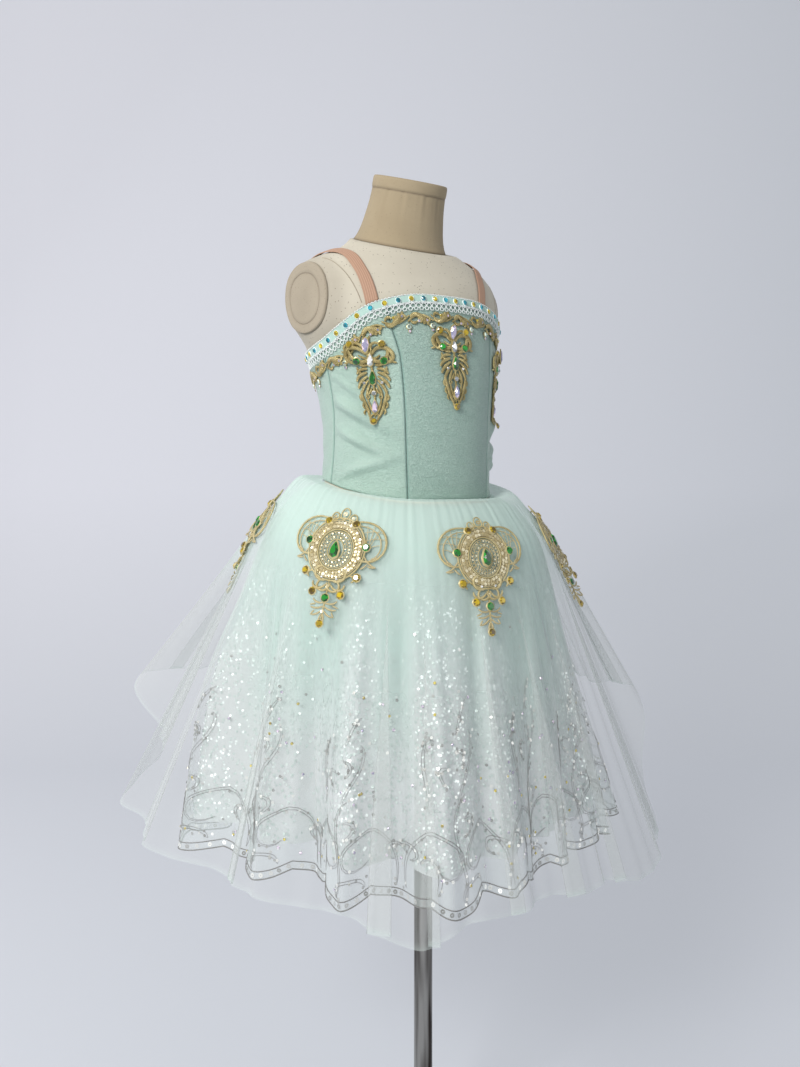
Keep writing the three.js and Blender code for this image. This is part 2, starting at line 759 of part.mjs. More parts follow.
/** The embroidered hem is level and runs in shallow scallops. */
function netFall(angle) {
  const scallop = Math.abs(Math.sin(degrees((wrap(angle) * SCALLOPS) / 2)));
  return waistLine(angle) - NET_HEM - SCALLOP * (1 - scallop);
}

function addSkirt() {
  const sequinFall = (angle) => waistLine(angle) - SEQUIN_HEM;
  const overlayFall = (angle) => tableValue(OVERLAY_ROUND, 'at', 'fall', wrap(angle));
  addSkirtLayer('skirt_sequin_layer', 'sequins', sequinRadius, SKIRT_RINGS, 2 * NET_START, sequinFall);
  addSkirtLayer('skirt_embroidered_net', 'net', netRadius, SKIRT_RINGS, NET_START, netFall);
  addSkirtLayer('skirt_overlay', 'overlay', overlayRadius, OVERLAY_RINGS, 0, overlayFall);
}

/** A flat applique laid on a surface, thicker along its middle, with round gaps cut through it. */
function appliqueGeometry(outline, columns, thick, holes, place) {
  const rows = outline.length - 1;
  const face = (raised) => (u, v) => {
    const row = outline[Math.round((1 - v) * rows)];
    const across = 2 * u - 1;
    const lift = raised ? thick * mix(1, EDGE_SHARE, across ** 2) : 0;
    return place(across * row.half, row.down, lift);
  };
  const plate = solidOf(wallGeometry(columns, rows, face(true), face(false), false));
  return geometryOf(
    holes.reduce((left, { side, down, radius }) => {
      const low = new THREE.Vector3(...place(side, down, -4));
      const high = new THREE.Vector3(...place(side, down, 8));
      const cutter = new THREE.CylinderGeometry(radius, radius, low.distanceTo(high), 10);
      const axis = high.clone().sub(low).normalize();
      cutter.applyQuaternion(new THREE.Quaternion().setFromUnitVectors(new THREE.Vector3(0, 1, 0), axis));
      cutter.translate(...low.clone().add(high).multiplyScalar(0.5).toArray());
      return left.subtract(solidOf(cutter));
    }, plate),
  );
}

/** How far a pendant is lifted where it crosses the garland, rising from below it. */
function overGarland(angle, z) {
  const foot = topLine(angle) - GARLAND_UNDER - GARLAND_HALF - GARLAND_UNIT;
  const share = Math.min(Math.max((z - foot) / 8, 0), 1);
  return OVER_GARLAND * share;
}

function addAppliques() {
  for (const { name, at, top } of PENDANTS) {
    const place = (side, down, out) => {
      const z = top - down;
      const reach = formRadius(at, z);
      const angle = at + arcAngle(side, reach);
      const lift = dragFold(angle, z) + overGarland(angle, z);
      return formPoint(angle, z, EASE + SATIN + LAID_GAP + lift + out);
    };
    add(name, appliqueGeometry(PENDANT_OUTLINE, 4, PENDANT_THICK, PENDANT_HOLES, place), 'gold');
  }
  for (const { name, at, start, lean, gap } of MEDALLIONS) {
    const place = (side, down, out) => {
      const fall = start + down * MEDALLION_SLANT;
      const angle = at + (lean * down) / MEDALLION_LENGTH + arcAngle(side, overlayRadius(at, fall));
      return skirtPoint(overlayRadius, angle, fall, out + gap);
    };
    const shape = appliqueGeometry(MEDALLION_OUTLINE, 6, MEDALLION_THICK, MEDALLION_HOLES, place);
    add(name, shape, 'gold');
  }
}

addStand();
addForm();
addBodice();
addLace();
addStraps();
addGarland();
addSkirt();
addAppliques();

export default group;
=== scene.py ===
"""A child's ballet tutu on a limbless dress form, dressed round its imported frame.

The tables are in millimetres and the meshes in metres. The front faces -Y and the
wearer's right is at -X. Angles are degrees round the body: 0 is the centre front and
90 is the wearer's left.
"""
import logging
from collections.abc import Callable, Sequence
from dataclasses import dataclass
from enum import Enum

import bmesh
import bpy
import numpy as np
from bpy.types import Material, Node, NodeTree
from bpy.types import NodeSocket as Socket
from bpy.types import Object as Piece
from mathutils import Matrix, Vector


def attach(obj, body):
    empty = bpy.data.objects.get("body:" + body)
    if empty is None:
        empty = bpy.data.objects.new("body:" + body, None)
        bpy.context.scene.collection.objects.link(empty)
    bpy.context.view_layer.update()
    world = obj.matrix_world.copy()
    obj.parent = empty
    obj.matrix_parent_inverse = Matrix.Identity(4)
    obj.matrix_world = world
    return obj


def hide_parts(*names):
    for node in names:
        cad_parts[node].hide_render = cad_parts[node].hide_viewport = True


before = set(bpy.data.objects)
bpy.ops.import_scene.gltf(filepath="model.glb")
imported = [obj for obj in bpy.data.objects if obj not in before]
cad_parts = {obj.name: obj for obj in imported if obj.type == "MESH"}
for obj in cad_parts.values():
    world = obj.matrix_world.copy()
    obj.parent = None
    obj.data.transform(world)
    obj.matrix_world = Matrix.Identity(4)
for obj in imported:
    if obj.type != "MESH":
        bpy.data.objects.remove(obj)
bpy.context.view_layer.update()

LOG = logging.getLogger("tutu")
MM = 0.001
WELD = 1e-7
SEED = 11
HEADING = -36.0
# The backdrop's pale colour, and its darker one for painted shade.
PALE, SHADED_PAPER = (0.555, 0.56, 0.6, 1.0), (0.435, 0.452, 0.486, 1.0)
Array = np.ndarray
Lay = Callable[[Array, Array, Array], Array]


# ---- tables of the source


@dataclass(frozen=True)
class Table:
    """A short table with named columns, read on a smooth curve through its rows."""

    names: tuple[str, ...]
    rows: tuple[tuple[float, ...], ...]
    round_body: bool = False

    def value(self, column: str, at: Array) -> Array:
        """One column at any key: a cubic through the rows, with central slopes.

        Args:
            column: the name of the column to read.
            at: the keys to read it at.

        Returns:
            The column's value at each key.
        """
        rows = np.array(self.rows, dtype=float)
        keys, values = rows[:, 0], rows[:, self.names.index(column)]
        if self.round_body:
            keys = join([keys[-3:] - 360, keys, keys[:3] + 360])
            values = join([values[-3:], values, values[:3]])
        last = len(keys) - 1
        index = np.arange(last + 1)
        before, after = np.maximum(index - 1, 0), np.minimum(index + 1, last)
        slope = (values[after] - values[before]) / (keys[after] - keys[before])
        at = np.clip(np.asarray(at, dtype=float), keys[0], keys[-1])
        i = np.clip(np.searchsorted(keys, at, side="right") - 1, 0, last - 1)
        span = keys[i + 1] - keys[i]
        s = (at - keys[i]) / span
        here = values[i] * (2 * s**3 - 3 * s**2 + 1)
        there = values[i + 1] * (3 * s**2 - 2 * s**3)
        bend = slope[i] * (s**3 - 2 * s**2 + s) + slope[i + 1] * (s**3 - s**2)
        return here + there + span * bend


ROUNDNESS = 2.05
PLATE_FACE = 114.3
PLATE_THICK = 3.0
NECK_FOOT = (43.5, 1007.0)
NECK_LEAN = 17.0
EASE = 1.2
SATIN = 1.5
LAID_GAP = 0.8
STRAP_OUT = 1.4
LACE_PROUD = 1.5
GARLAND_UNDER = 24.0
GARLAND_SWAY = 1.6
GARLAND_UNIT = 14.0
OVER_GARLAND = 3.3
NET_START = 3.0
NET_FALL = 372.0
NET_HEM = 356.0
SCALLOP = 9.0
NET_CIRCLE = 200.0
NET_REPEATS = 12
FULL_TURN = 6.2832
MEDALLION_MIDDLE = 41.0
SCALLOPS = 24
SEQUIN_HEM = 388.0
MEAN_REACH = 205.0
LAYER_GAP = 4.2
LAYER_SPREAD = 7.0
LAYER_RAMP = 12.0
OVERLAY_GAP = 3.5
FOLD_GROWTH = 1.7
FOLD_KNEE = 0.08
TOP_RING = 0.5
OVERLAY_RING = 0.8
PUFF = 46.0
PUFF_FALL = 13.0
PUFF_RISE = (9.0, 12.0, 8.0)
MEDALLION_LENGTH = 124.0
MEDALLION_SLANT = 0.9
WALL = 0.6

FORM_SECTIONS = Table(
    ("z", "half", "middle", "front", "back"),
    (
        (600, 98, 34, -46, 124), (640, 104, 34, -53, 130), (690, 99, 34, -56, 125),
        (727, 92, 34, -56, 119), (748, 90, 34, -57, 116.5), (785, 89, 34, -58, 114),
        (820, 92, 34, -57.5, 116), (850, 98, 36, -56.5, 120), (872, 104, 39, -54.5, 123),
        (886, 107.5, 44, -52.5, 125), (898, 112.5, 50, -50, 127), (915, 123, 56, -46, 130),
        (937, 130.5, 60, -41, 131), (955, 130.5, 61, -34, 129), (968, 125, 61, -26, 124),
        (980, 112, 58, -19, 115), (990, 91, 56, -12, 111), (1000, 69, 53, -7, 107),
        (1014, 54, 49, -3, 100), (1034, 47, 46, 3, 92),
    ),
)
NECK_OUTLINE = Table(
    ("up", "radius"), ((0, 52.5), (5, 49.8), (14, 46.8), (28, 44), (45, 41.5), (58, 40.4)),
)
WAIST_LINE = Table(
    ("at", "z"),
    ((0, 726), (34, 726.5), (52, 730), (77, 737), (100, 744.5), (125, 748), (180, 746)),
)
TOP_LINE = Table(
    ("at", "z"),
    (
        (0, 938.5), (16, 938.2), (27, 936.3), (42, 929), (50, 922), (63, 906.5), (80, 892),
        (103, 882.5), (130, 880.5), (180, 880),
    ),
)
NET_SPREAD = Table(
    ("fall", "out"),
    (
        (0, 0), (2, 9), (6, 21), (18, 37), (44, 54), (81, 65), (129, 74), (186, 85), (244, 95),
        (316, 105), (396, 115),
    ),
)
NET_FOLDS = Table(
    ("at", "reach", "full"),
    (
        (-166, 196, 372), (-151, 238, 372), (-134, 196, 300), (-114, 246, 200), (-99, 182, 240),
        (-83, 204, 330), (-69, 156, 372), (-51, 220, 372), (-39, 180, 372), (-27, 242, 372),
        (-12, 198, 372), (-5, 212, 372), (10, 182, 372), (20, 196, 372), (31, 184, 372),
        (48, 222, 400), (57, 212, 400), (69, 256, 400), (83, 196, 372), (97, 238, 372),
        (112, 190, 372), (128, 242, 372), (143, 198, 372), (160, 245, 372), (177, 204, 372),
    ),
    round_body=True,
)
OVERLAY_FOLDS = Table(
    ("at", "reach", "fall"),
    (
        (-168, 262, 246), (-155, 290, 236), (-141, 334, 240), (-125, 266, 292), (-113, 305, 335),
        (-107, 284, 344), (-100, 284, 362), (-84, 244, 364), (-69, 252, 366), (-50, 234, 370),
        (-33, 250, 388), (-22, 240, 372), (-10, 240, 370), (0, 230, 366), (10, 242, 372),
        (20, 240, 372), (30, 262, 382), (44, 276, 374), (54, 268, 320), (64, 277, 236),
        (80, 256, 238), (100, 288, 244), (120, 262, 236), (140, 292, 246), (158, 266, 238),
        (176, 288, 248),
    ),
    round_body=True,
)
# Folds that drag across the front side panels.
DRAG_FOLDS = (
    # from_angle, from_z, to_angle, to_z, half, rise
    (92, 866, 52, 822, 8, 1.6), (94, 838, 34, 788, 11, 2.6), (94, 806, 34, 764, 9, 2.2),
    (92, 748, 33, 772, 9, 1.8),
)


join = np.concatenate


def draw(number: int) -> np.random.Generator:
    """A seeded draw of its own for each use."""
    return np.random.default_rng(SEED + number)


def rad(angle: Array) -> Array:
    """Degrees as radians."""
    return np.asarray(angle, dtype=float) * np.pi / 180


def arc_angle(length: Array, radius: Array) -> Array:
    """The angle in degrees that an arc of this length covers."""
    return length / radius * 180 / np.pi


def mix(a: Array, b: Array, share: Array) -> Array:
    """The value that lies `share` of the way from a to b."""
    return a + (b - a) * share


def bump(x: Array) -> Array:
    """A smooth hump: cosine squared between -1 and 1, and 0 outside."""
    return np.where(np.abs(x) < 1, np.cos(np.clip(x, -1, 1) * np.pi / 2) ** 2, 0.0)


def ease(x: Array) -> Array:
    """A smooth step from 0 at 0 to 1 at 1."""
    s = np.clip(x, 0, 1)
    return s * s * (3 - 2 * s)


def circle(number: int) -> Array:
    """Even turns round a circle, in radians."""
    return np.arange(number) * 2 * np.pi / number


def wrap(angle: Array) -> Array:
    """An angle brought between -180 and 180."""
    return (np.asarray(angle, dtype=float) + 180) % 360 - 180


def waist_line(angle: Array) -> Array:
    """The height of the bodice's lower edge."""
    return WAIST_LINE.value("z", np.abs(wrap(angle)))


def top_line(angle: Array) -> Array:
    """The height of the bodice's upper edge."""
    return TOP_LINE.value("z", np.abs(wrap(angle)))


def section(z: Array) -> list[Array]:
    """The form's half width, middle, front and back at a height."""
    return [FORM_SECTIONS.value(name, z) for name in ("half", "middle", "front", "back")]


def form_radius(angle: Array, z: Array) -> Array:
    """The form's reach from its section's middle: a superellipse with a front and a back."""
    half, middle, front, back = section(z)
    across, forward = np.abs(np.sin(rad(angle))), np.cos(rad(angle))
    depth = np.where(forward > 0, middle - front, back - middle)
    inner = (across / half) ** ROUNDNESS + (np.abs(forward) / depth) ** ROUNDNESS
    return inner ** (-1 / ROUNDNESS)


def polar(angle: Array, radius: Array, middle: Array, z: Array) -> Array:
    """Points round the body's axis, in millimetres."""
    x = radius * np.sin(rad(angle))
    y = middle - radius * np.cos(rad(angle))
    return np.stack(np.broadcast_arrays(x, y, z), axis=-1)


def form_point(angle: Array, z: Array, out: Array) -> Array:
    """A point `out` from the form's skin, at the skin's own height."""
    middle = FORM_SECTIONS.value("middle", z)
    return polar(angle, form_radius(angle, z) + out, middle, z)


def drag_fold(angle: Array, z: Array) -> Array:
    """The rise of the drag folds: humps along slanting lines, each fading at its ends."""
    turn = np.abs(wrap(angle))
    rise = np.zeros(np.broadcast(turn, z).shape)
    for from_angle, from_z, to_angle, to_z, half, height in DRAG_FOLDS:
        along = (turn - from_angle) / (to_angle - from_angle)
        across = (z - mix(from_z, to_z, along)) / half
        rise = rise + height * bump(2 * along - 1) * bump(across)
    return rise


def satin_fold(angle: Array, z: Array) -> Array:
    """The drag folds as the satin shows them, strongest well below the garland."""
    return (1.6 + 1.6 * ease((top_line(angle) - 40 - z) / 25)) * drag_fold(angle, z)


def soft_least(a: Array, b: float, soft: float) -> Array:
    """The lesser of two values, rounded over `soft`, and 0 where a is."""
    return np.where(a > 0, -soft * np.logaddexp(-a / soft, -b / soft), 0.0)


def net_radius(angle: Array, fall: Array) -> Array:
    """The net's reach: the waist, its spread, and folds that deepen with the fall."""
    waist = form_radius(angle, waist_line(angle)) + EASE
    fold = NET_FOLDS.value("reach", wrap(angle)) - MEAN_REACH
    full = NET_FOLDS.value("full", wrap(angle))
    low = np.maximum(fall, 0)
    share = soft_least(low / full, 1, FOLD_KNEE)
    share = share / soft_least(NET_FALL / full, 1, FOLD_KNEE)
    spread = NET_SPREAD.value("out", fall - TOP_RING - NET_START)
    return waist + spread + fold * share**FOLD_GROWTH


def sequin_radius(angle: Array, fall: Array) -> Array:
    """The sequinned layer lies inside the net and follows its folds."""
    start = np.clip((fall - TOP_RING - 2 * NET_START) / LAYER_RAMP, 0, 1)
    inset = LAYER_GAP * start + LAYER_SPREAD * fall / NET_FALL
    return net_radius(angle, fall - NET_START) - inset


def overlay_radius(angle: Array, fall: Array) -> Array:
    """The overlay's reach: a puff, a straight fall, and never inside the net."""
    waist = form_radius(angle, waist_line(angle)) + EASE
    reach = OVERLAY_FOLDS.value("reach", wrap(angle))
    whole = OVERLAY_FOLDS.value("fall", wrap(angle))
    low = np.maximum(fall - OVERLAY_RING, 0)
    puff = PUFF * (1 - np.exp(-low / PUFF_FALL))
    straight = waist + puff + (reach - waist - PUFF) * low / whole
    start = np.minimum(low / LAYER_RAMP, 1)
    net = net_radius(angle, fall + NET_START) + OVERLAY_GAP * start
    soft = 3 * start + 0.01
    return soft * np.logaddexp(straight / soft, net / soft)


def puff_rise(angle: Array, fall: Array) -> Array:
    """How far the overlay's puff stands up over its own fall, most at the back."""
    front, back, at = PUFF_RISE
    share = fall / at
    height = mix(front, back, (1 - np.cos(rad(angle))) / 2)
    return height * share**3 * np.exp(3 - 3 * share)


def no_rise(angle: Array, fall: Array) -> Array:
    """The rise of a layer with no puff."""
    return np.zeros(np.broadcast(angle, fall).shape)


# Small gathers that all the skirt's layers share, so that they never cross.
GATHERS = (
    # waves, phase, height, drift per mm of fall
    (97, 0.4, 0.2, 0.004), (131, 2.1, 0.12, -0.005), (71, 4.0, 0.3, 0.003),
)
HANGING = ((43, 1.1, 0.9, 0.0016), (58, 3.3, 0.7, -0.0013), (31, 5.2, 1.0, 0.0011))


def waves(rows: Sequence[tuple[float, ...]], angle: Array, fall: Array) -> Array:
    """A sum of sines round the body, each drifting a little as it falls."""
    rise = np.zeros(np.broadcast(angle, fall).shape)
    for count, phase, height, drift in rows:
        rise = rise + height * np.sin(count * rad(angle) + phase + drift * fall)
    return rise


def gathers(angle: Array, fall: Array) -> Array:
    """Fine gathers below the waist, which open into wider hanging folds."""
    near = ease(fall / 14) * np.exp(-fall / 150)
    far = ease((fall - 30) / 130) * (0.6 + fall / 300)
    return near * waves(GATHERS, angle, fall) + far * waves(HANGING, angle, fall)


@dataclass(frozen=True)
class Hang:
    """How one skirt layer hangs: its reach and rise for an angle and a fall."""

    reach: Callable[[Array, Array], Array]
    rise: Callable[[Array, Array], Array] = no_rise

    def point(self, angle: Array, fall: Array, out: Array) -> Array:
        """A point `out` from the layer, along its slope's own normal."""
        step = 0.5
        spread = self.reach(angle, fall + step) - self.reach(angle, fall - step)
        lift = self.rise(angle, fall + step) - self.rise(angle, fall - step)
        spread, drop = spread / (2 * step), 1 - lift / (2 * step)
        slope = np.hypot(spread, drop)
        z = waist_line(angle) - fall + self.rise(angle, fall) + out * spread / slope
        skin = form_radius(angle, np.minimum(z, waist_line(angle))) + 0.4
        radius = np.maximum(self.reach(angle, fall) + out * drop / slope, skin)
        middle = FORM_SECTIONS.value("middle", np.minimum(z, 780))
        return polar(angle, radius, middle, z)

    def cloth(self, angle: Array, fall: Array, out: Array) -> Array:
        """A point on the layer's cloth, its gathers included."""
        return self.point(angle, fall, out + gathers(angle, fall))


NET = Hang(net_radius)
SEQUINS = Hang(sequin_radius)
OVERLAY = Hang(overlay_radius, puff_rise)


def net_fall(angle: Array) -> Array:
    """The embroidered hem is level and runs in shallow scallops."""
    scallop = np.abs(np.sin(rad(wrap(angle) * SCALLOPS / 2)))
    return waist_line(angle) - NET_HEM - SCALLOP * (1 - scallop)


# ---- mesh making


def stacked(*parts: Array) -> Array:
    """Coordinates as one array, with x, y and z last."""
    return np.stack(parts, axis=-1)


def unit(vectors: Array) -> Array:
    """Vectors brought to length 1."""
    length = np.linalg.norm(vectors, axis=-1, keepdims=True)
    return vectors / np.maximum(length, 1e-12)


def axes_on(lay: Lay, side: Array, down: Array, out: Array) -> tuple[Array, ...]:
    """Places on a laid surface, with its two directions and its outward normal.

    Args:
        lay: the surface, as a function of side, down and out.
        side: millimetres to the wearer's left.
        down: millimetres down the surface.
        out: millimetres off the surface.

    Returns:
        The points, and unit vectors along side, down and out.
    """
    step = 0.4
    point = lay(side, down, out)
    along = unit(lay(side + step, down, out) - lay(side - step, down, out))
    fall = lay(side, down + step, out) - lay(side, down - step, out)
    fall = unit(fall - along * np.sum(fall * along, axis=-1, keepdims=True))
    normal = unit(np.cross(fall, along))
    sign = np.sign(np.sum(normal * (lay(side, down, out + 1) - point), axis=-1))
    return point, along, fall, normal * np.where(sign < 0, -1.0, 1.0)[..., None]


class Cloth:
    """Collects the points and faces of one piece, and makes its mesh."""

    def __init__(self) -> None:
        """Starts empty; each list gets an array for each call of add."""
        self.points, self.corners, self.sizes, self.uvs = [], [], [], []
        self.slots, self.facets, self.tones, self.count = [], [], [], 0

    def add(
        self, points: Array, faces: Array, uv: Array | None = None, slot: int = 0,
        facet: Array | float = 0.5, tone: Array | float = 0.0,
    ) -> None:
        """Adds points in millimetres and faces that all have the same number of corners.

        Args:
            points: places, one row each.
            faces: the corners' point numbers, one row a face.
            uv: the corners' places on the map, in metres, or None.
            slot: the material slot of these faces.
            facet: a random share for each face, which the stones' and sequins' finishes turn into
                painted glints.
            tone: a share for each point.
        """
        points = np.asarray(points, dtype=float).reshape(-1, 3)
        faces = np.asarray(faces, dtype=np.int64)
        number, sides = faces.shape
        self.points.append(points)
        self.corners.append((faces + self.count).reshape(-1))
        self.sizes.append(np.full(number, sides))
        flat = np.zeros((number * sides, 2)) if uv is None else uv.reshape(-1, 2)
        self.uvs.append(flat)
        self.slots.append(np.full(number, slot))
        self.facets.append(np.broadcast_to(facet, (number,)).astype(float))
        self.tones.append(np.broadcast_to(tone, (len(points),)).astype(float))
        self.count += len(points)

    def grid(
        self, points: Array, closed: bool = False, flip: bool = False, tone: Array | float = 0.0,
        stretch: tuple[float, float] = (1.0, 1.0),
    ) -> None:
        """Adds a surface from rows of points; `closed` joins the end of each row to its start.

        The map's u runs along the rows and v across them, from 0 to `stretch` in metres.
        """
        rows, columns = points.shape[:2]
        wide = columns if closed else columns - 1
        i, j = np.meshgrid(np.arange(wide), np.arange(rows - 1))
        i, j = i.reshape(-1), j.reshape(-1)
        near = np.stack([i, i + 1, i + 1, i], axis=1)
        far = np.stack([j, j, j + 1, j + 1], axis=1)
        if flip:
            near, far = near[:, ::-1], far[:, ::-1]
        faces = far * columns + near % columns
        uv = stacked(near / wide * stretch[0], far / (rows - 1) * stretch[1])
        tone = np.broadcast_to(tone, (rows, columns)).reshape(-1) if np.ndim(tone) else tone
        self.add(points, faces, uv, tone=tone)

    def shell(self, outer: Array, inner: Array, tone: Array | float = 0.0) -> None:
        """Adds a closed wall between two equal grids, with rounded lips along all four edges."""
        lip = (outer + inner) / 2
        top = join([lip[:1], outer, lip[-1:]], axis=0)
        low = join([lip[:1], inner, lip[-1:]], axis=0)
        middle = (top + low) / 2
        left, right = middle[:, :1], middle[:, -1:]
        ring = join([left, top, right, low[:, ::-1]], axis=1)
        if np.ndim(tone):
            tone = join([tone[:1], tone, tone[-1:]], axis=0)
            tone = join([tone[:, :1], tone, tone[:, -1:], tone[:, ::-1]], axis=1)
        size = np.linalg.norm(np.diff(top, axis=1), axis=-1).sum(1).mean() * 2 * MM
        tall = np.linalg.norm(np.diff(top, axis=0), axis=-1).sum(0).mean() * MM
        self.grid(ring, closed=True, tone=tone, stretch=(size, tall))

    def mesh(self, name: str, *finishes: str, flat: bool = False, weld: bool = False) -> Piece:
        """Makes the object.

        Args:
            name: the piece's name.
            finishes: the names of its finishes, by slot.
            flat: True for faceted faces.
            weld: True to join points that lie on each other.

        Returns:
            The new object, at the origin.
        """
        points, corners, sizes, uvs, slots, facets, tones = map(
            join,
            (self.points, self.corners, self.sizes, self.uvs, self.slots, self.facets, self.tones),
        )
        mesh = bpy.data.meshes.new(name)
        mesh.vertices.add(len(points))
        mesh.vertices.foreach_set("co", points.reshape(-1) * MM)
        mesh.loops.add(len(corners))
        mesh.loops.foreach_set("vertex_index", corners.astype(np.int32))
        mesh.polygons.add(len(sizes))
        starts = join([[0], np.cumsum(sizes)[:-1]])
        mesh.polygons.foreach_set("loop_start", starts.astype(np.int32))
        for finish in finishes:
            mesh.materials.append(WARDROBE[finish])
        mesh.polygons.foreach_set("material_index", slots.astype(np.int32))
        mesh.update(calc_edges=True)
        mesh.uv_layers.new(name="map").data.foreach_set("uv", uvs.reshape(-1))
        mesh.attributes.new("facet", "FLOAT", "FACE").data.foreach_set("value", facets)
        mesh.attributes.new("tone", "FLOAT", "POINT").data.foreach_set("value", tones)
        mesh.polygons.foreach_set("use_smooth", np.full(len(sizes), not flat))
        mesh.validate()
        if weld:
            joined = bmesh.new()
            joined.from_mesh(mesh)
            bmesh.ops.remove_doubles(joined, verts=joined.verts, dist=WELD)
            joined.to_mesh(mesh)
            joined.free()
        piece = bpy.data.objects.new(name, mesh)
        bpy.context.scene.collection.objects.link(piece)
        return piece


def sweep(
    cloth: Cloth, path: Array, normal: Array, wide: Array, high: Array, sides: int = 6,
    slot: int = 0, closed: bool = False, vein: float = 0.0,
) -> None:
    """Carries an ellipse along many paths at once, with a small fan over each end.

    Args:
        cloth: the piece that takes the faces.
        path: places of shape (paths, samples, 3).
        normal: the surface's outward direction at each place.
        wide: half the cord's width at each sample.
        high: half its height at each sample.
        sides: corners of the cord's section.
        slot: its material slot.
        closed: True for rings.
        vein: how deep the groove along its top is, as a share of its height.
    """
    paths, samples = path.shape[:2]
    if closed:
        tangent = np.roll(path, -1, axis=1) - np.roll(path, 1, axis=1)
    else:
        tangent = np.gradient(path, axis=1)
    tangent = unit(tangent)
    side = unit(np.cross(tangent, normal))
    up = np.cross(side, tangent)
    turn = circle(sides)
    lift = np.sin(turn) * np.where(np.arange(sides) == sides // 4, 1 - vein, 1)
    wide = np.broadcast_to(wide, (paths, samples))[..., None, None]
    high = np.broadcast_to(high, (paths, samples))[..., None, None]
    ring = (
        path[:, :, None]
        + side[:, :, None] * wide * np.cos(turn)[:, None]
        + up[:, :, None] * high * lift[:, None]
    )
    spans = samples if closed else samples - 1
    p, j, i = np.meshgrid(np.arange(paths), np.arange(spans), np.arange(sides), indexing="ij")
    p, j, i = p.reshape(-1), j.reshape(-1), i.reshape(-1)
    across = np.stack([i, i, i + 1, i + 1], axis=1)
    along = np.stack([j, j + 1, j + 1, j], axis=1)
    faces = (p[:, None] * samples + along % samples) * sides + across % sides
    length = np.linalg.norm(np.diff(path, axis=1), axis=-1).sum(1)[p, None] * MM
    uv = stacked(along / spans * length, across / sides * np.ones_like(length))
    cloth.add(ring, faces, uv, slot)
    if closed:
        return
    for end, flip in ((0, True), (samples - 1, False)):
        hub = path[:, end] + tangent[:, end] * wide[:, end, :, 0] * (-0.6 if flip else 0.6)
        points = join([hub[:, None], ring[:, end]], axis=1)
        q, k = np.meshgrid(np.arange(paths), np.arange(sides), indexing="ij")
        q, k = q.reshape(-1) * (sides + 1), k.reshape(-1)
        fan = np.stack([q, q + 1 + k, q + 1 + (k + 1) % sides], axis=1)
        cloth.add(points, fan[:, ::-1] if not flip else fan, None, slot)


def turned(profile: Sequence[tuple[float, float]], columns: int) -> Array:
    """Rows of points on a surface of revolution round +Z, from pairs of radius and height."""
    radius, height = np.array(profile, dtype=float).T
    turn = circle(columns)
    x = radius[:, None] * np.cos(turn)
    y = radius[:, None] * np.sin(turn)
    return stacked(x, y, np.broadcast_to(height[:, None], x.shape))


def rounded(profile: Sequence[tuple[float, float]], cut: float = 0.6) -> list[tuple[float, float]]:
    """The profile with each inner corner cut off a little, so that it shades as a soft edge."""
    points = np.array(profile, dtype=float)
    made = [points[0]]
    for before, here, after in zip(points, points[1:], points[2:]):
        for other in (before, after):
            gap = other - here
            length = np.linalg.norm(gap)
            made.append(here + gap / length * min(cut, length / 3))
    return [tuple(row) for row in [*made, points[-1]]]


# ---- ornament


@dataclass(frozen=True)
class Stroke:
    """One scroll of cord: where it starts, where it heads, and how it curls."""

    side: float
    down: float
    heading: float
    length: float
    curl: float = 0.0
    curl_end: float = 0.0
    wide: float = 1.0
    slot: int = 0


def strokes(*rows: tuple[float, ...]) -> list[Stroke]:
    """Scrolls from a table: side, down, heading, length, curl, curl_end, wide, slot."""
    return [Stroke(*row) for row in rows]


def scroll_paths(
    rows: Sequence[Stroke], samples: int, mirror: bool
) -> tuple[Array, Array, Array, Array]:
    """Works out scrolls whose heading turns at a rate that changes evenly along them.

    Args:
        rows: the scrolls.
        samples: points on each.
        mirror: True to add each one's mirror image.

    Returns:
        Side and down at each point, half the width at each point, and each one's slot.
    """
    table = np.array(
        [[r.side, r.down, r.heading, r.length, r.curl, r.curl_end, r.wide, r.slot] for r in rows]
    )
    side0, down0, heading, length, curl, curl_end, wide, slot = table.T
    share = np.linspace(0, 1, samples)
    run = length[:, None] * share
    turn = curl[:, None] * run + (curl_end - curl)[:, None] * run * share / 2
    angle = rad(heading[:, None] + turn)
    step = (length / (samples - 1))[:, None]
    middle = lambda v: join(
        [np.zeros((len(rows), 1)), np.cumsum((v[:, 1:] + v[:, :-1]) / 2 * step, axis=1)], axis=1
    )
    side = side0[:, None] + middle(np.cos(angle))
    down = down0[:, None] + middle(np.sin(angle))
    swell = 0.45 + 0.55 * np.sin(np.pi * np.clip(share * 0.92 + 0.04, 0, 1)) ** 0.7
    half = wide[:, None] * swell
    if mirror:
        side, down = join([side, -side]), join([down, down])
        half, slot = join([half, half]), join([slot, slot])
    return side, down, half, slot


def lay_scrolls(
    cloth: Cloth, lay: Lay, side: Array, down: Array, half: Array, slot: Array, rise: float = 0.6,
    sides: int = 6, closed: bool = False, vein: float = 0.0,
) -> None:
    """Lays cords on a surface, half sunk in it, each with its own slot."""
    for one in np.unique(slot):
        pick = slot == one
        high = half[pick] * 0.75
        path, _, _, normal = axes_on(lay, side[pick], down[pick], rise + high * 0.4)
        sweep(cloth, path, normal, half[pick], high, sides, int(one), closed, vein)


class Cut(Enum):
    """The outline of a stone."""

    ROUND = "round"
    PEAR = "pear"
    NAVETTE = "navette"

    def outline(self, corners: int) -> Array:
        """The girdle's corners: a circle, a drop with its tip up, or a boat."""
        turn = circle(corners)
        side, down = np.sin(turn), -np.cos(turn)
        if self is Cut.PEAR:
            side = side * (0.5 - 0.5 * np.cos(turn)) ** 0.45
        if self is Cut.NAVETTE:
            side = side * np.abs(np.sin(turn)) ** 0.5
        return np.stack([side, down], axis=1)


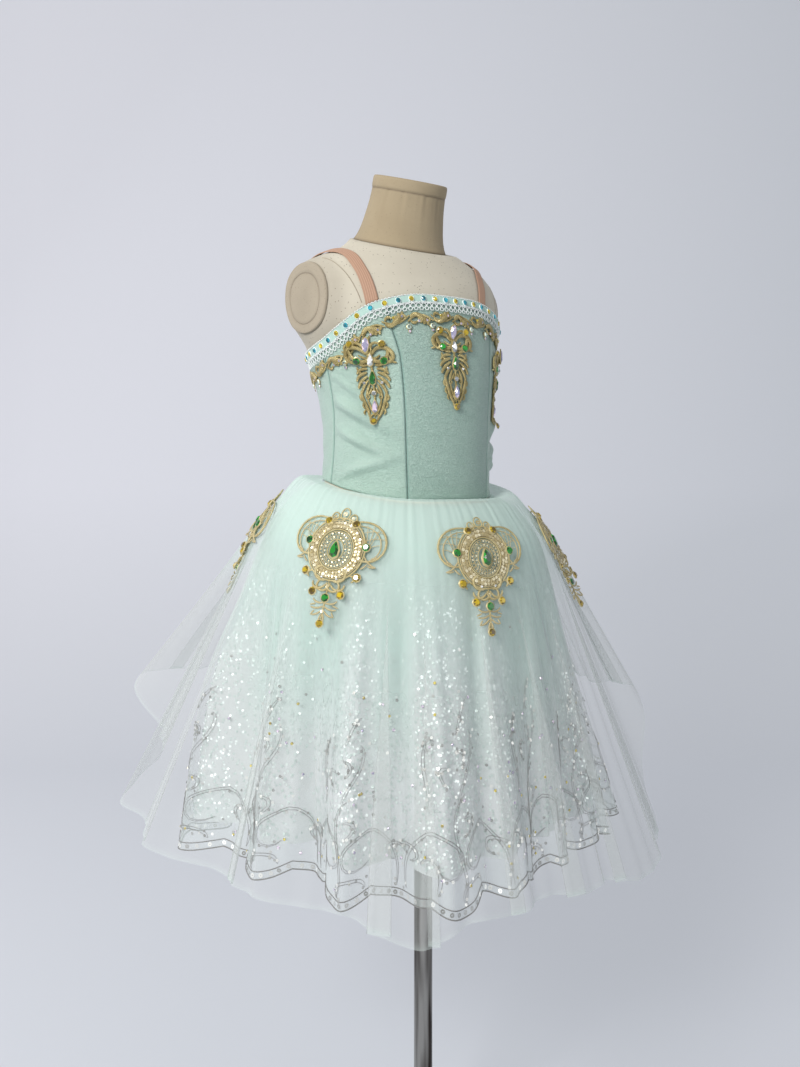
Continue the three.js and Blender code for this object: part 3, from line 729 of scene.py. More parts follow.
@dataclass(frozen=True)
class Stone:
    """A stone: its place, its half width and half length, its slot and its cut."""

    side: float
    down: float
    wide: float
    tall: float
    slot: int
    cut: Cut = Cut.ROUND


def lay_stones(
    cloth: Cloth, lay: Lay, rows: Sequence[Stone], rise: float, rim_slot: int,
    rng: np.random.Generator,
) -> None:
    """Sets faceted stones on a surface, each in a thin rim.

    The crown is two rings of triangles between a table and a girdle; the rim is a low
    wall round it. Each facet keeps a random share, which sets its painted glint.
    """
    corners = 8
    for cut in Cut:
        picked = [row for row in rows if row.cut is cut]
        if not picked:
            continue
        table = np.array([[r.side, r.down, r.wide, r.tall, r.slot] for r in picked])
        side, down, wide, tall, slot = table.T
        centre, along, fall, normal = axes_on(lay, side, down, rise)
        girdle = cut.outline(corners)
        between = (girdle + np.roll(girdle, -1, axis=0)) / 2
        high = np.minimum(wide, tall) * 0.62
        rings = []
        for ring, scale, lift in (
            (girdle, 0.95, -0.2), (girdle, 1.0, 0.34), (between, 0.66, 1.0), (girdle, 1.2, -0.2),
            (girdle, 1.1, 0.42),
        ):
            rings.append(
                centre[:, None]
                + along[:, None] * ring[:, :1] * (wide * scale)[:, None, None]
                + fall[:, None] * ring[:, 1:] * (tall * scale)[:, None, None]
                + normal[:, None] * (high * lift)[:, None, None]
            )
        points = join(rings, axis=1)
        number, each = points.shape[:2]
        base = (np.arange(number) * each)[:, None, None]
        k = np.arange(corners)
        after = (k + 1) % corners
        under, belt, top, foot, lip = (k + corners * r for r in range(5))
        crown = join(
            [
                np.stack([belt, top, belt - k + after], axis=1),
                np.stack([top, top - k + after, belt - k + after], axis=1),
            ]
        )
        walls = np.stack([under, belt, belt - k + after, under - k + after], axis=1)
        rims = join(
            [
                np.stack([foot, lip, lip - k + after, foot - k + after], axis=1),
                np.stack([lip, belt, belt - k + after, lip - k + after], axis=1),
            ]
        )
        start = cloth.count
        cloth.points.append(points.reshape(-1, 3))
        cloth.tones.append(np.zeros(number * each))
        cloth.count += number * each
        flat = top[None]
        bottom = foot[None, ::-1]
        parts = ((crown, slot), (walls, slot), (flat, slot), (rims, None), (bottom, None))
        for faces, own in parts:
            whole = (faces[None] + base + start).reshape(-1, faces.shape[1])[:, ::-1]
            cloth.corners.append(whole.reshape(-1))
            cloth.sizes.append(np.full(len(whole), whole.shape[1]))
            cloth.uvs.append(np.zeros((whole.size, 2)))
            named = np.full(number, rim_slot) if own is None else own
            cloth.slots.append(np.repeat(named, len(faces)))
            cloth.facets.append(rng.random(len(whole)))


def lay_discs(
    cloth: Cloth, places: tuple[Array, ...], radius: Array, rng: np.random.Generator,
    slot: int = 0, corners: int = 6, hole: float = 0.0, tilt: float = 0.0, cup: float = 0.0,
    shine: Array | float = 1.0,
) -> None:
    """Adds flat round sequins: one many-cornered face each, or a flat ring if they have a hole.

    Args:
        cloth: the piece that takes the faces.
        places: their middles and their three directions, as axes_on gives them.
        radius: the radius of each.
        rng: the seeded draw for tilts and painted glints.
        slot: the material slot.
        corners: corners of each disc.
        hole: the hole's radius as a share of the disc's.
        tilt: how far each may lean, as a slope.
        cup: how far the rim rises, as a share of the radius.
        shine: how much of its painted glint each keeps.
    """
    centre, along, fall, normal = places
    number = len(centre)
    lean = rng.normal(0, tilt, (2, number, 1)) if tilt else np.zeros((2, number, 1))
    along = unit(along + normal * lean[0])
    fall = unit(fall + normal * lean[1])
    turn = circle(corners)
    spoke = along[:, None] * np.cos(turn)[:, None] + fall[:, None] * np.sin(turn)[:, None]
    size = np.broadcast_to(radius, (number,))[:, None, None]
    rim = centre[:, None] + spoke * size + normal[:, None] * size * cup
    glint = rng.random(number) * shine
    if not hole:
        faces = np.arange(number * corners).reshape(number, corners)[:, ::-1]
        cloth.add(rim, faces, None, slot, glint)
        return
    inner = centre[:, None] + spoke * size * hole
    points = join([rim, inner], axis=1)
    k = np.arange(corners)
    after = (k + 1) % corners
    ring = np.stack([after, k, k + corners, after + corners], axis=1)
    base = (np.arange(number) * 2 * corners)[:, None, None]
    faces = (ring[None] + base).reshape(-1, 4)
    cloth.add(points, faces, None, slot, np.repeat(glint, corners))


# ---- finishes


class Desk:
    """Places shader nodes in one tree and joins them."""

    def __init__(self, tree: NodeTree) -> None:
        """Keeps the tree that the nodes go into."""
        self.tree = tree

    def put(self, kind: str, inputs: dict | None = None, **settings) -> Node:
        """Places a node; an input may be a value or another node's socket."""
        node = self.tree.nodes.new(kind)
        for name, value in settings.items():
            setattr(node, name, value)
        self.feed(node, inputs or {})
        return node

    def feed(self, node: Node, inputs: dict) -> None:
        """Sets a node's inputs from values, or links them to other nodes' sockets."""
        for name, value in inputs.items():
            if isinstance(value, Socket):
                self.tree.links.new(value, node.inputs[name])
            else:
                node.inputs[name].default_value = value

    def place(self, mapped: bool = False) -> Socket:
        """The place on the piece's map, or in the piece's own space."""
        return self.put("ShaderNodeTexCoord").outputs["UV" if mapped else "Object"]

    def axes(self, place: Socket) -> Sequence[Socket]:
        """A place's X, Y and Z."""
        return self.put("ShaderNodeSeparateXYZ", {"Vector": place}).outputs

    def share(self, name: str) -> Socket:
        """The share that the piece keeps under this name."""
        return self.put("ShaderNodeAttribute", attribute_name=name).outputs["Fac"]

    def group(self, tree: NodeTree, **inputs) -> Sequence[Socket]:
        """Places a shared effect and returns its outputs."""
        node = self.put("ShaderNodeGroup", node_tree=tree)
        self.feed(node, inputs)
        return node.outputs

    def close(self, **outputs: Socket) -> NodeTree:
        """Gives a group its outputs, all single values, and returns it."""
        for label in outputs:
            self.tree.interface.new_socket(label, in_out="OUTPUT", socket_type="NodeSocketFloat")
        self.put("NodeGroupOutput", outputs)
        return self.tree

    def relief(self, shader: Node, height, depth: float, strength: float) -> None:
        """Feeds a height into the shader's normal."""
        inputs = {"Height": height, "Distance": depth * MM, "Strength": strength}
        self.feed(shader, {"Normal": self.put("ShaderNodeBump", inputs).outputs["Normal"]})

    def math(self, operation: str, *values, clamp: bool = False) -> Socket:
        """One arithmetic step on values or sockets."""
        node = self.put("ShaderNodeMath", dict(enumerate(values)), operation=operation)
        node.use_clamp = clamp
        return node.outputs[0]

    def span(self, value, low: float, high: float, to_low: float, to_high: float) -> Socket:
        """Carries a value from one range to another, and holds it there."""
        inputs = {"Value": value, "From Min": low, "From Max": high}
        inputs |= {"To Min": to_low, "To Max": to_high}
        return self.put("ShaderNodeMapRange", inputs).outputs["Result"]

    def blend(self, share, first, second) -> Socket:
        """Mixes two colours."""
        node = self.put("ShaderNodeMix", data_type="RGBA")
        self.feed(node, {0: share, 6: first, 7: second})
        return node.outputs[2]


def tint(red: float, green: float, blue: float) -> tuple[float, float, float, float]:
    """A colour given as screen values from 0 to 255, as the linear light Blender wants."""
    screen = np.array([red, green, blue]) / 255
    light = np.where(screen <= 0.04045, screen / 12.92, ((screen + 0.055) / 1.055) ** 2.4)
    return (*(float(v) for v in light), 1.0)


def effect(name: str, **inputs: float | None) -> tuple[Desk, Sequence[Socket]]:
    """Starts a shader node group.

    Args:
        name: the group's name.
        inputs: each input's name with its default; None makes a vector.

    Returns:
        The group's desk, and the sockets of its inputs by name.
    """
    tree = bpy.data.node_groups.new(name, "ShaderNodeTree")
    for label, default in inputs.items():
        vector = default is None
        kind = "NodeSocketVector" if vector else "NodeSocketFloat"
        socket = tree.interface.new_socket(label, in_out="INPUT", socket_type=kind)
        if not vector:
            socket.default_value = default
    desk = Desk(tree)
    return desk, desk.put("NodeGroupInput").outputs


def woven_threads() -> NodeTree:
    """Over and under threads: two crossed waves, their rows set a little uneven by noise."""
    desk, source = effect("woven_threads", Place=None, Threads=1500.0, Uneven=0.4)
    noise = desk.put("ShaderNodeTexNoise", {"Vector": source["Place"], "Scale": 260.0})
    shift = desk.math("MULTIPLY", noise.outputs["Fac"], source["Uneven"])
    axes = desk.axes(source["Place"])
    rows = []
    for axis in ("X", "Y"):
        turn = desk.math("MULTIPLY", axes[axis], source["Threads"])
        turn = desk.math("MULTIPLY", turn, FULL_TURN)
        turn = desk.math("ADD", turn, desk.math("MULTIPLY", shift, 9.0))
        rows.append(desk.math("SINE", turn))
    over = desk.math("MULTIPLY", rows[0], rows[1])
    height = desk.math("MULTIPLY_ADD", over, 0.5, 0.5)
    tone = desk.math("MULTIPLY_ADD", noise.outputs["Fac"], 0.6, 0.2, clamp=True)
    return desk.close(Height=height, Tone=tone)


def cloth_mottle() -> NodeTree:
    """Soft clouds of tone at two sizes, from noise."""
    desk, source = effect("cloth_mottle", Place=None, Size=40.0, Contrast=0.5)
    wide = desk.put(
        "ShaderNodeTexNoise", {"Vector": source["Place"], "Scale": source["Size"], "Detail": 4.0},
    )
    low = desk.math("SUBTRACT", wide.outputs["Fac"], 0.5)
    tone = desk.math("MULTIPLY_ADD", low, source["Contrast"], 0.5, clamp=True)
    return desk.close(Tone=tone)


def yarn_flecks() -> NodeTree:
    """Sparse dark flecks: the cores of scattered cells."""
    desk, source = effect("yarn_flecks", Place=None, Count=260.0, Size=0.16)
    cells = desk.put("ShaderNodeTexVoronoi", {"Vector": source["Place"], "Scale": source["Count"]})
    near = desk.math("LESS_THAN", cells.outputs["Distance"], source["Size"])
    tone = desk.put("ShaderNodeSeparateColor", {"Color": cells.outputs["Color"]})
    rare = desk.math("GREATER_THAN", tone.outputs[0], 0.78)
    return desk.close(Mask=desk.math("MULTIPLY", near, rare))


def cord_twist() -> NodeTree:
    """The slant of a twisted cord: a wave along its length that climbs round it."""
    desk, source = effect("cord_twist", Place=None, Turns=900.0)
    axes = desk.axes(source["Place"])
    along = desk.math("MULTIPLY", axes["X"], source["Turns"])
    turn = desk.math("MULTIPLY", desk.math("ADD", along, axes["Y"]), FULL_TURN)
    wave = desk.math("MULTIPLY_ADD", desk.math("SINE", turn), 0.5, 0.5)
    return desk.close(Height=wave)


WEAVE, MOTTLE, FLECK, TWIST = woven_threads(), cloth_mottle(), yarn_flecks(), cord_twist()


@dataclass(frozen=True)
class Finish:
    """A finish: its colours and how it takes light, with the nodes that vary them."""

    name: str
    color: tuple[float, ...]
    second: tuple[float, ...]
    roughness: float = 0.7
    metallic: float = 0.0
    sheen: float = 0.0
    coat: float = 0.0
    specular: float = 0.5
    painted_glow: float = 0.0

    def material(self) -> Material:
        """Makes the material, sets its shader's plain values and wires the rest."""
        material = bpy.data.materials.new(self.name)
        material.use_nodes = True
        desk = Desk(material.node_tree)
        shader = next(n for n in material.node_tree.nodes if n.type == "BSDF_PRINCIPLED")
        # Emission makes stones, sequins and the backdrop glow: painted light, not lamps.
        plain = {
            "Roughness": self.roughness, "Metallic": self.metallic, "Sheen Weight": self.sheen,
            "Sheen Roughness": 0.4, "Coat Weight": self.coat, "Coat Roughness": 0.05,
            "Specular IOR Level": self.specular, "Emission Color": self.color,
            "Emission Strength": self.painted_glow,
        }
        desk.feed(shader, plain)
        self.look(desk, shader)
        return material

    def look(self, desk: Desk, shader: Node) -> None:
        """Wires the nodes; a plain finish has none."""


@dataclass(frozen=True)
class Linen(Finish):
    """Plain woven cover with uneven threads and dark flecks, darkened by the piece's tone along
    seams and as painted shade.
    """

    threads: float = 900.0
    flecks: float = 0.6

    def look(self, desk: Desk, shader: Node) -> None:
        """Wires the nodes."""
        place = desk.place(True)
        space = desk.place()
        weave = desk.group(WEAVE, Place=place, Threads=self.threads)
        cloud = desk.group(MOTTLE, Place=space, Size=28.0, Contrast=0.9)
        fleck = desk.group(FLECK, Place=space, Count=420.0, Size=0.2)
        color = desk.blend(cloud["Tone"], self.color, self.second)
        slub = desk.span(weave["Tone"], 0.3, 0.7, 0.0, 0.25)
        color = desk.blend(slub, color, self.second)
        dark = desk.math("MULTIPLY", fleck["Mask"], self.flecks)
        color = desk.blend(dark, color, tint(96, 84, 70))
        # The piece's tone darkens seams, and lays painted shade toward the torso's armholes and
        # round the neck's foot.
        seam = desk.share("tone")
        color = desk.blend(seam, color, tint(104, 92, 78))
        desk.feed(shader, {"Base Color": color})
        desk.relief(shader, weave["Height"], 0.25, 0.55)


@dataclass(frozen=True)
class Satin(Finish):
    """Crinkled satin: soft sheen over fine uneven crumples with a painted highlight on their
    peaks, darker along its seams.
    """

    def look(self, desk: Desk, shader: Node) -> None:
        """Wires the nodes."""
        space = desk.place()
        stretch = desk.put("ShaderNodeMapping", {"Vector": space, "Scale": (1.0, 1.0, 2.2)})
        crumple = desk.put(
            "ShaderNodeTexNoise",
            {
                "Vector": stretch.outputs["Vector"], "Scale": 300.0, "Detail": 5.0,
                "Roughness": 0.62, "Distortion": 1.4,
            },
        )
        cloud = desk.group(MOTTLE, Place=space, Size=22.0, Contrast=0.8)
        color = desk.blend(cloud["Tone"], self.color, self.second)
        # Painted highlight: the satin is made paler where the crumples rise.
        fine = desk.span(crumple.outputs["Fac"], 0.4, 0.66, 0.0, 0.3)
        color = desk.blend(fine, color, tint(222, 240, 230))
        seam = desk.share("tone")
        color = desk.blend(seam, color, tint(110, 158, 150))
        desk.feed(shader, {"Base Color": color})
        gloss = desk.span(
            crumple.outputs["Fac"], 0.3, 0.7, self.roughness + 0.1, self.roughness - 0.06,
        )
        desk.feed(shader, {"Roughness": gloss})
        desk.relief(shader, crumple.outputs["Fac"], 2.6, 0.9)


@dataclass(frozen=True)
class Tulle(Finish):
    """Sheer net: see-through by an amount kept on the cloth, and denser seen edge on."""

    edge: float = 0.55
    fade: tuple[float, float] = (0.15, 0.45)
    threads: float = 700.0

    def look(self, desk: Desk, shader: Node) -> None:
        """Wires the nodes."""
        space = desk.place()
        cloud = desk.group(MOTTLE, Place=space, Size=16.0, Contrast=0.7)
        dense = desk.share("tone")
        tinted = desk.span(dense, *self.fade, 0.0, 0.8)
        tinted = desk.math("MULTIPLY_ADD", cloud["Tone"], 0.2, tinted)
        color = desk.blend(tinted, self.second, self.color)
        desk.feed(shader, {"Base Color": color})
        facing = desk.put("ShaderNodeLayerWeight").outputs["Facing"]
        rim = desk.math("POWER", facing, 3.0)
        more = desk.math("MULTIPLY", rim, self.edge)
        rest = desk.math("SUBTRACT", 1.0, dense)
        alpha = desk.math("MULTIPLY_ADD", rest, more, dense, clamp=True)
        desk.feed(shader, {"Alpha": alpha})
        weave = desk.group(WEAVE, Place=desk.place(True), Threads=self.threads)
        desk.relief(shader, weave["Height"], 0.1, 0.2)


@dataclass(frozen=True)
class Cord(Finish):
    """Twisted thread, metallic or matt, with painted shade in the grooves of its twist."""

    turns: float = 700.0
    depth: float = 0.3

    def look(self, desk: Desk, shader: Node) -> None:
        """Wires the nodes."""
        twist = desk.group(TWIST, Place=desk.place(True), Turns=self.turns)
        space = desk.place()
        worn = desk.group(MOTTLE, Place=space, Size=120.0, Contrast=1.2)
        color = desk.blend(worn["Tone"], self.color, self.second)
        # Painted shade: the twist's grooves are darkened toward a deep copy of the second colour.
        groove = desk.span(twist["Height"], 0.0, 0.6, 0.45, 0.0)
        dark = tuple(0.45 * v for v in self.second[:3]) + (1.0,)
        color = desk.blend(groove, color, dark)
        desk.feed(shader, {"Base Color": color})
        desk.relief(shader, twist["Height"], self.depth, 0.8)


@dataclass(frozen=True)
class Gem(Finish):
    """Foiled glass: each facet's own share paints a reflection into its colour, and the brightest
    glow as painted glints.
    """

    rare: float = 3.0

    def look(self, desk: Desk, shader: Node) -> None:
        """Wires the nodes."""
        glint = desk.share("facet")
        # Painted reflection: each facet's colour runs from the dark colour to the bright one by
        # its share.
        share = desk.math("POWER", glint, 1.8)
        color = desk.blend(share, self.color, self.second)
        desk.feed(shader, {"Base Color": color})
        # Painted glints: the facets with the highest share glow.
        spark = desk.math("POWER", glint, self.rare)
        light = desk.blend(spark, (0.0, 0.0, 0.0, 1.0), self.second)
        desk.feed(shader, {"Emission Color": light})
        cloud = desk.group(MOTTLE, Place=desk.place(), Size=400.0)
        gloss = desk.span(cloud["Tone"], 0.3, 0.7, self.roughness, self.roughness + 0.08)
        desk.feed(shader, {"Roughness": gloss})


@dataclass(frozen=True)
class Ribbed(Finish):
    """Ribbed elastic, with ribs along it, painted shade in their grooves and along its edges, and
    a fine cross weave.
    """

    def look(self, desk: Desk, shader: Node) -> None:
        """Wires the nodes."""
        place = desk.place(True)
        weave = desk.group(WEAVE, Place=place, Threads=1300.0, Uneven=0.1)
        # The piece's tone darkens the rib grooves and the edges: painted shade.
        rib = desk.share("tone")
        color = desk.blend(rib, self.color, self.second)
        slub = desk.span(weave["Height"], 0.0, 1.0, 0.0, 0.3)
        color = desk.blend(slub, color, self.second)
        desk.feed(shader, {"Base Color": color})
        desk.relief(shader, weave["Height"], 0.2, 0.5)


@dataclass(frozen=True)
class Metal(Finish):
    """Polished metal with painted reflections in long streaks, and cloudy wear in its roughness.
    """

    def look(self, desk: Desk, shader: Node) -> None:
        """Wires the nodes."""
        space = desk.place()
        stretched_place = desk.put("ShaderNodeMapping", {"Vector": space, "Scale": (1.0, 1.0, 0.06)})
        reflection_streak = desk.put(
            "ShaderNodeTexNoise", {"Vector": stretched_place.outputs["Vector"], "Scale": 70.0, "Detail": 2.0}
        )
        cloud = desk.group(MOTTLE, Place=space, Size=9.0, Contrast=1.0)
        # Painted reflection: long bands of light and dark colour along the metal.
        band = desk.span(reflection_streak.outputs["Fac"], 0.38, 0.52, 0.0, 1.0)
        color = desk.blend(band, self.color, self.second)
        desk.feed(shader, {"Base Color": color})
        gloss = desk.span(cloud["Tone"], 0.2, 0.8, self.roughness, self.roughness + 0.12)
        desk.feed(shader, {"Roughness": gloss})


@dataclass(frozen=True)
class Paper(Finish):
    """Backdrop paper that glows faintly, with painted shade deepening to the right and near the
    floor.
    """

    aim: float = -rad(HEADING)

    def look(self, desk: Desk, shader: Node) -> None:
        """Wires the nodes."""
        axes = desk.axes(desk.place())
        across = desk.math("MULTIPLY", axes["X"], float(np.cos(self.aim)))
        across = desk.math("MULTIPLY_ADD", axes["Y"], float(-np.sin(self.aim)), across)
        # Painted shade: the paper darkens toward the right and down near the floor.
        floor = desk.span(axes["Z"], 0.0, 0.7, 0.65, 0.0)
        share = desk.math("ADD", desk.span(across, -1.2, 1.4, 0.0, 1.0), floor)
        color = desk.blend(share, self.color, self.second)
        desk.feed(shader, {"Base Color": color, "Emission Color": color})


FINISHES: tuple[Finish, ...] = (
    Linen("linen_cover", tint(211, 205, 189), tint(194, 187, 170), 0.9, sheen=0.1, flecks=0.9),
    Linen("neck_linen", tint(172, 157, 130), tint(153, 138, 112), 0.9, flecks=0.3),
    Linen("plate_linen", tint(176, 165, 146), tint(158, 147, 129), 0.9, flecks=0.4),
    Satin("mint_satin", tint(186, 212, 199), tint(164, 196, 182), 0.3, sheen=0.22),
    # A darker copy of the satin: painted shade for the front centre panel.
    Satin("mint_satin_front_shaded", tint(164, 192, 180), tint(148, 179, 167), 0.36, sheen=0.16),
    Linen("lace_strip", tint(190, 217, 208), tint(166, 199, 189), 0.8, flecks=0.0),
    Cord("lace_cord", tint(250, 253, 252), tint(236, 245, 243), 0.75, turns=800.0, depth=0.1),
    Ribbed("nude_elastic", tint(196, 160, 136), tint(162, 126, 104), 0.75),
    Cord("gold_thread", tint(240, 224, 164), tint(122, 102, 42), 0.32, metallic=0.35, depth=0.6),
    Cord("pale_gold_thread", tint(226, 214, 174), tint(182, 164, 114), 0.45, metallic=0.2),
    Cord("champagne_cord", tint(232, 221, 174), tint(172, 152, 94), 0.42, metallic=0.25),
    Gem("champagne_sequin", tint(190, 174, 128), tint(246, 238, 206), 0.2, metallic=0.4,
        painted_glow=0.1),
    Gem("green_glass", tint(0, 52, 14), tint(24, 156, 44), 0.08, coat=1.0, painted_glow=0.14),
    Gem("amber_glass", tint(84, 66, 0), tint(206, 176, 14), 0.08, coat=1.0, painted_glow=0.1),
    Gem("teal_glass", tint(6, 92, 106), tint(56, 184, 204), 0.08, coat=1.0, painted_glow=0.2),
    Gem("citrine_glass", tint(140, 120, 6), tint(236, 216, 60), 0.08, coat=1.0, painted_glow=0.2),
    Gem("rainbow_glass", tint(140, 146, 180), tint(255, 232, 252), 0.06, metallic=0.4, coat=1.0,
        painted_glow=0.4),
    Gem("clear_glass", tint(130, 138, 144), tint(255, 255, 255), 0.05, metallic=0.4, coat=1.0,
        painted_glow=0.4),
    Gem("mint_pearl", tint(206, 228, 214), tint(226, 240, 230), 0.22, coat=0.5),
    Gem("mint_sequin", tint(200, 219, 213), tint(246, 253, 251), 0.26, metallic=0.15, painted_glow=0.75,
        rare=4.5),
    Gem("silver_sequin", tint(150, 150, 146), tint(255, 255, 250), 0.2, metallic=0.5, painted_glow=0.5),
    Cord("grey_cord", tint(140, 135, 133), tint(104, 99, 97), 0.5, metallic=0.15),
    Tulle("mint_cloth", tint(186, 219, 208), tint(232, 234, 235), 0.7, sheen=0.1,
        fade=(0.8, 0.92)),
    Tulle("net_tulle", tint(211, 233, 226), tint(226, 228, 229), 0.8, fade=(0.2, 0.45)),
    Tulle("overlay_tulle", tint(218, 240, 232), tint(208, 209, 208), 0.8, sheen=0.1),
    Metal("pole_chrome", tint(158, 156, 152), tint(48, 41, 37), 0.14, metallic=1.0),
    Metal("base_chrome", tint(132, 130, 127), tint(118, 115, 112), 0.2, metallic=1.0),
    Paper("backdrop_paper", PALE, SHADED_PAPER, 0.95, specular=0.1, painted_glow=0.5),
)
WARDROBE: dict[str, Material] = {row.name: row.material() for row in FINISHES}


def finish_piece(piece: Piece, slot: str, *nodes: str) -> Piece:
    """Makes a piece ride on the part and hides the nodes it stands for."""
    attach(piece, "root")
    if nodes:
        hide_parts(*nodes)
    LOG.info("%s: %d faces", piece.name, len(piece.data.polygons))
    return piece


# ---- stand and form


@dataclass
class Stand:
    """The round base with its collar, and the pole."""

    base_radius: float = 135.0
    rim: float = 5.0
    crown: float = 11.0
    collar: float = 17.0
    collar_top: float = 42.0
    pole: float = 10.0
    socket: float = 5.0
    form_bottom: float = 600.0
    slide: float = 0.3

    def build(self) -> None:
        """Builds both pieces as turned surfaces."""
        wide, collar = self.base_radius, self.collar
        bore = self.pole + self.slide
        slope = [
            (mix(wide - 8, collar + 8, s), mix(self.rim + 2.5, self.crown, s**0.8))
            for s in np.linspace(0, 1, 8)
        ]
        profile = rounded(
            [
                (0.01, 0), (wide, 0), (wide, self.rim), *slope, (collar + 2, self.crown + 1.6),
                (collar, self.crown + 5), (collar, self.collar_top), (bore, self.collar_top),
                (bore, self.socket), (0.01, self.socket),
            ]
        )
        self.turn("stand_base_turned", profile, 96, "stand_base", "base_chrome")
        pole = rounded(
            [(0.01, self.socket), (self.pole, self.socket)]
            + [(self.pole, z) for z in np.linspace(60, self.form_bottom - 20, 6)]
            + [(self.pole, self.form_bottom), (0.01, self.form_bottom)],
            0.4,
        )
        self.turn("stand_pole_turned", pole, 48, "stand_pole", "pole_chrome")

    def turn(self, name: str, profile, columns: int, node: str, metal: str) -> None:
        """Makes one turned piece that stands for a node."""
        cloth = Cloth()
        cloth.grid(turned(profile, columns), closed=True)
        piece = cloth.mesh(name, metal)
        finish_piece(piece, "pole_chrome", node)


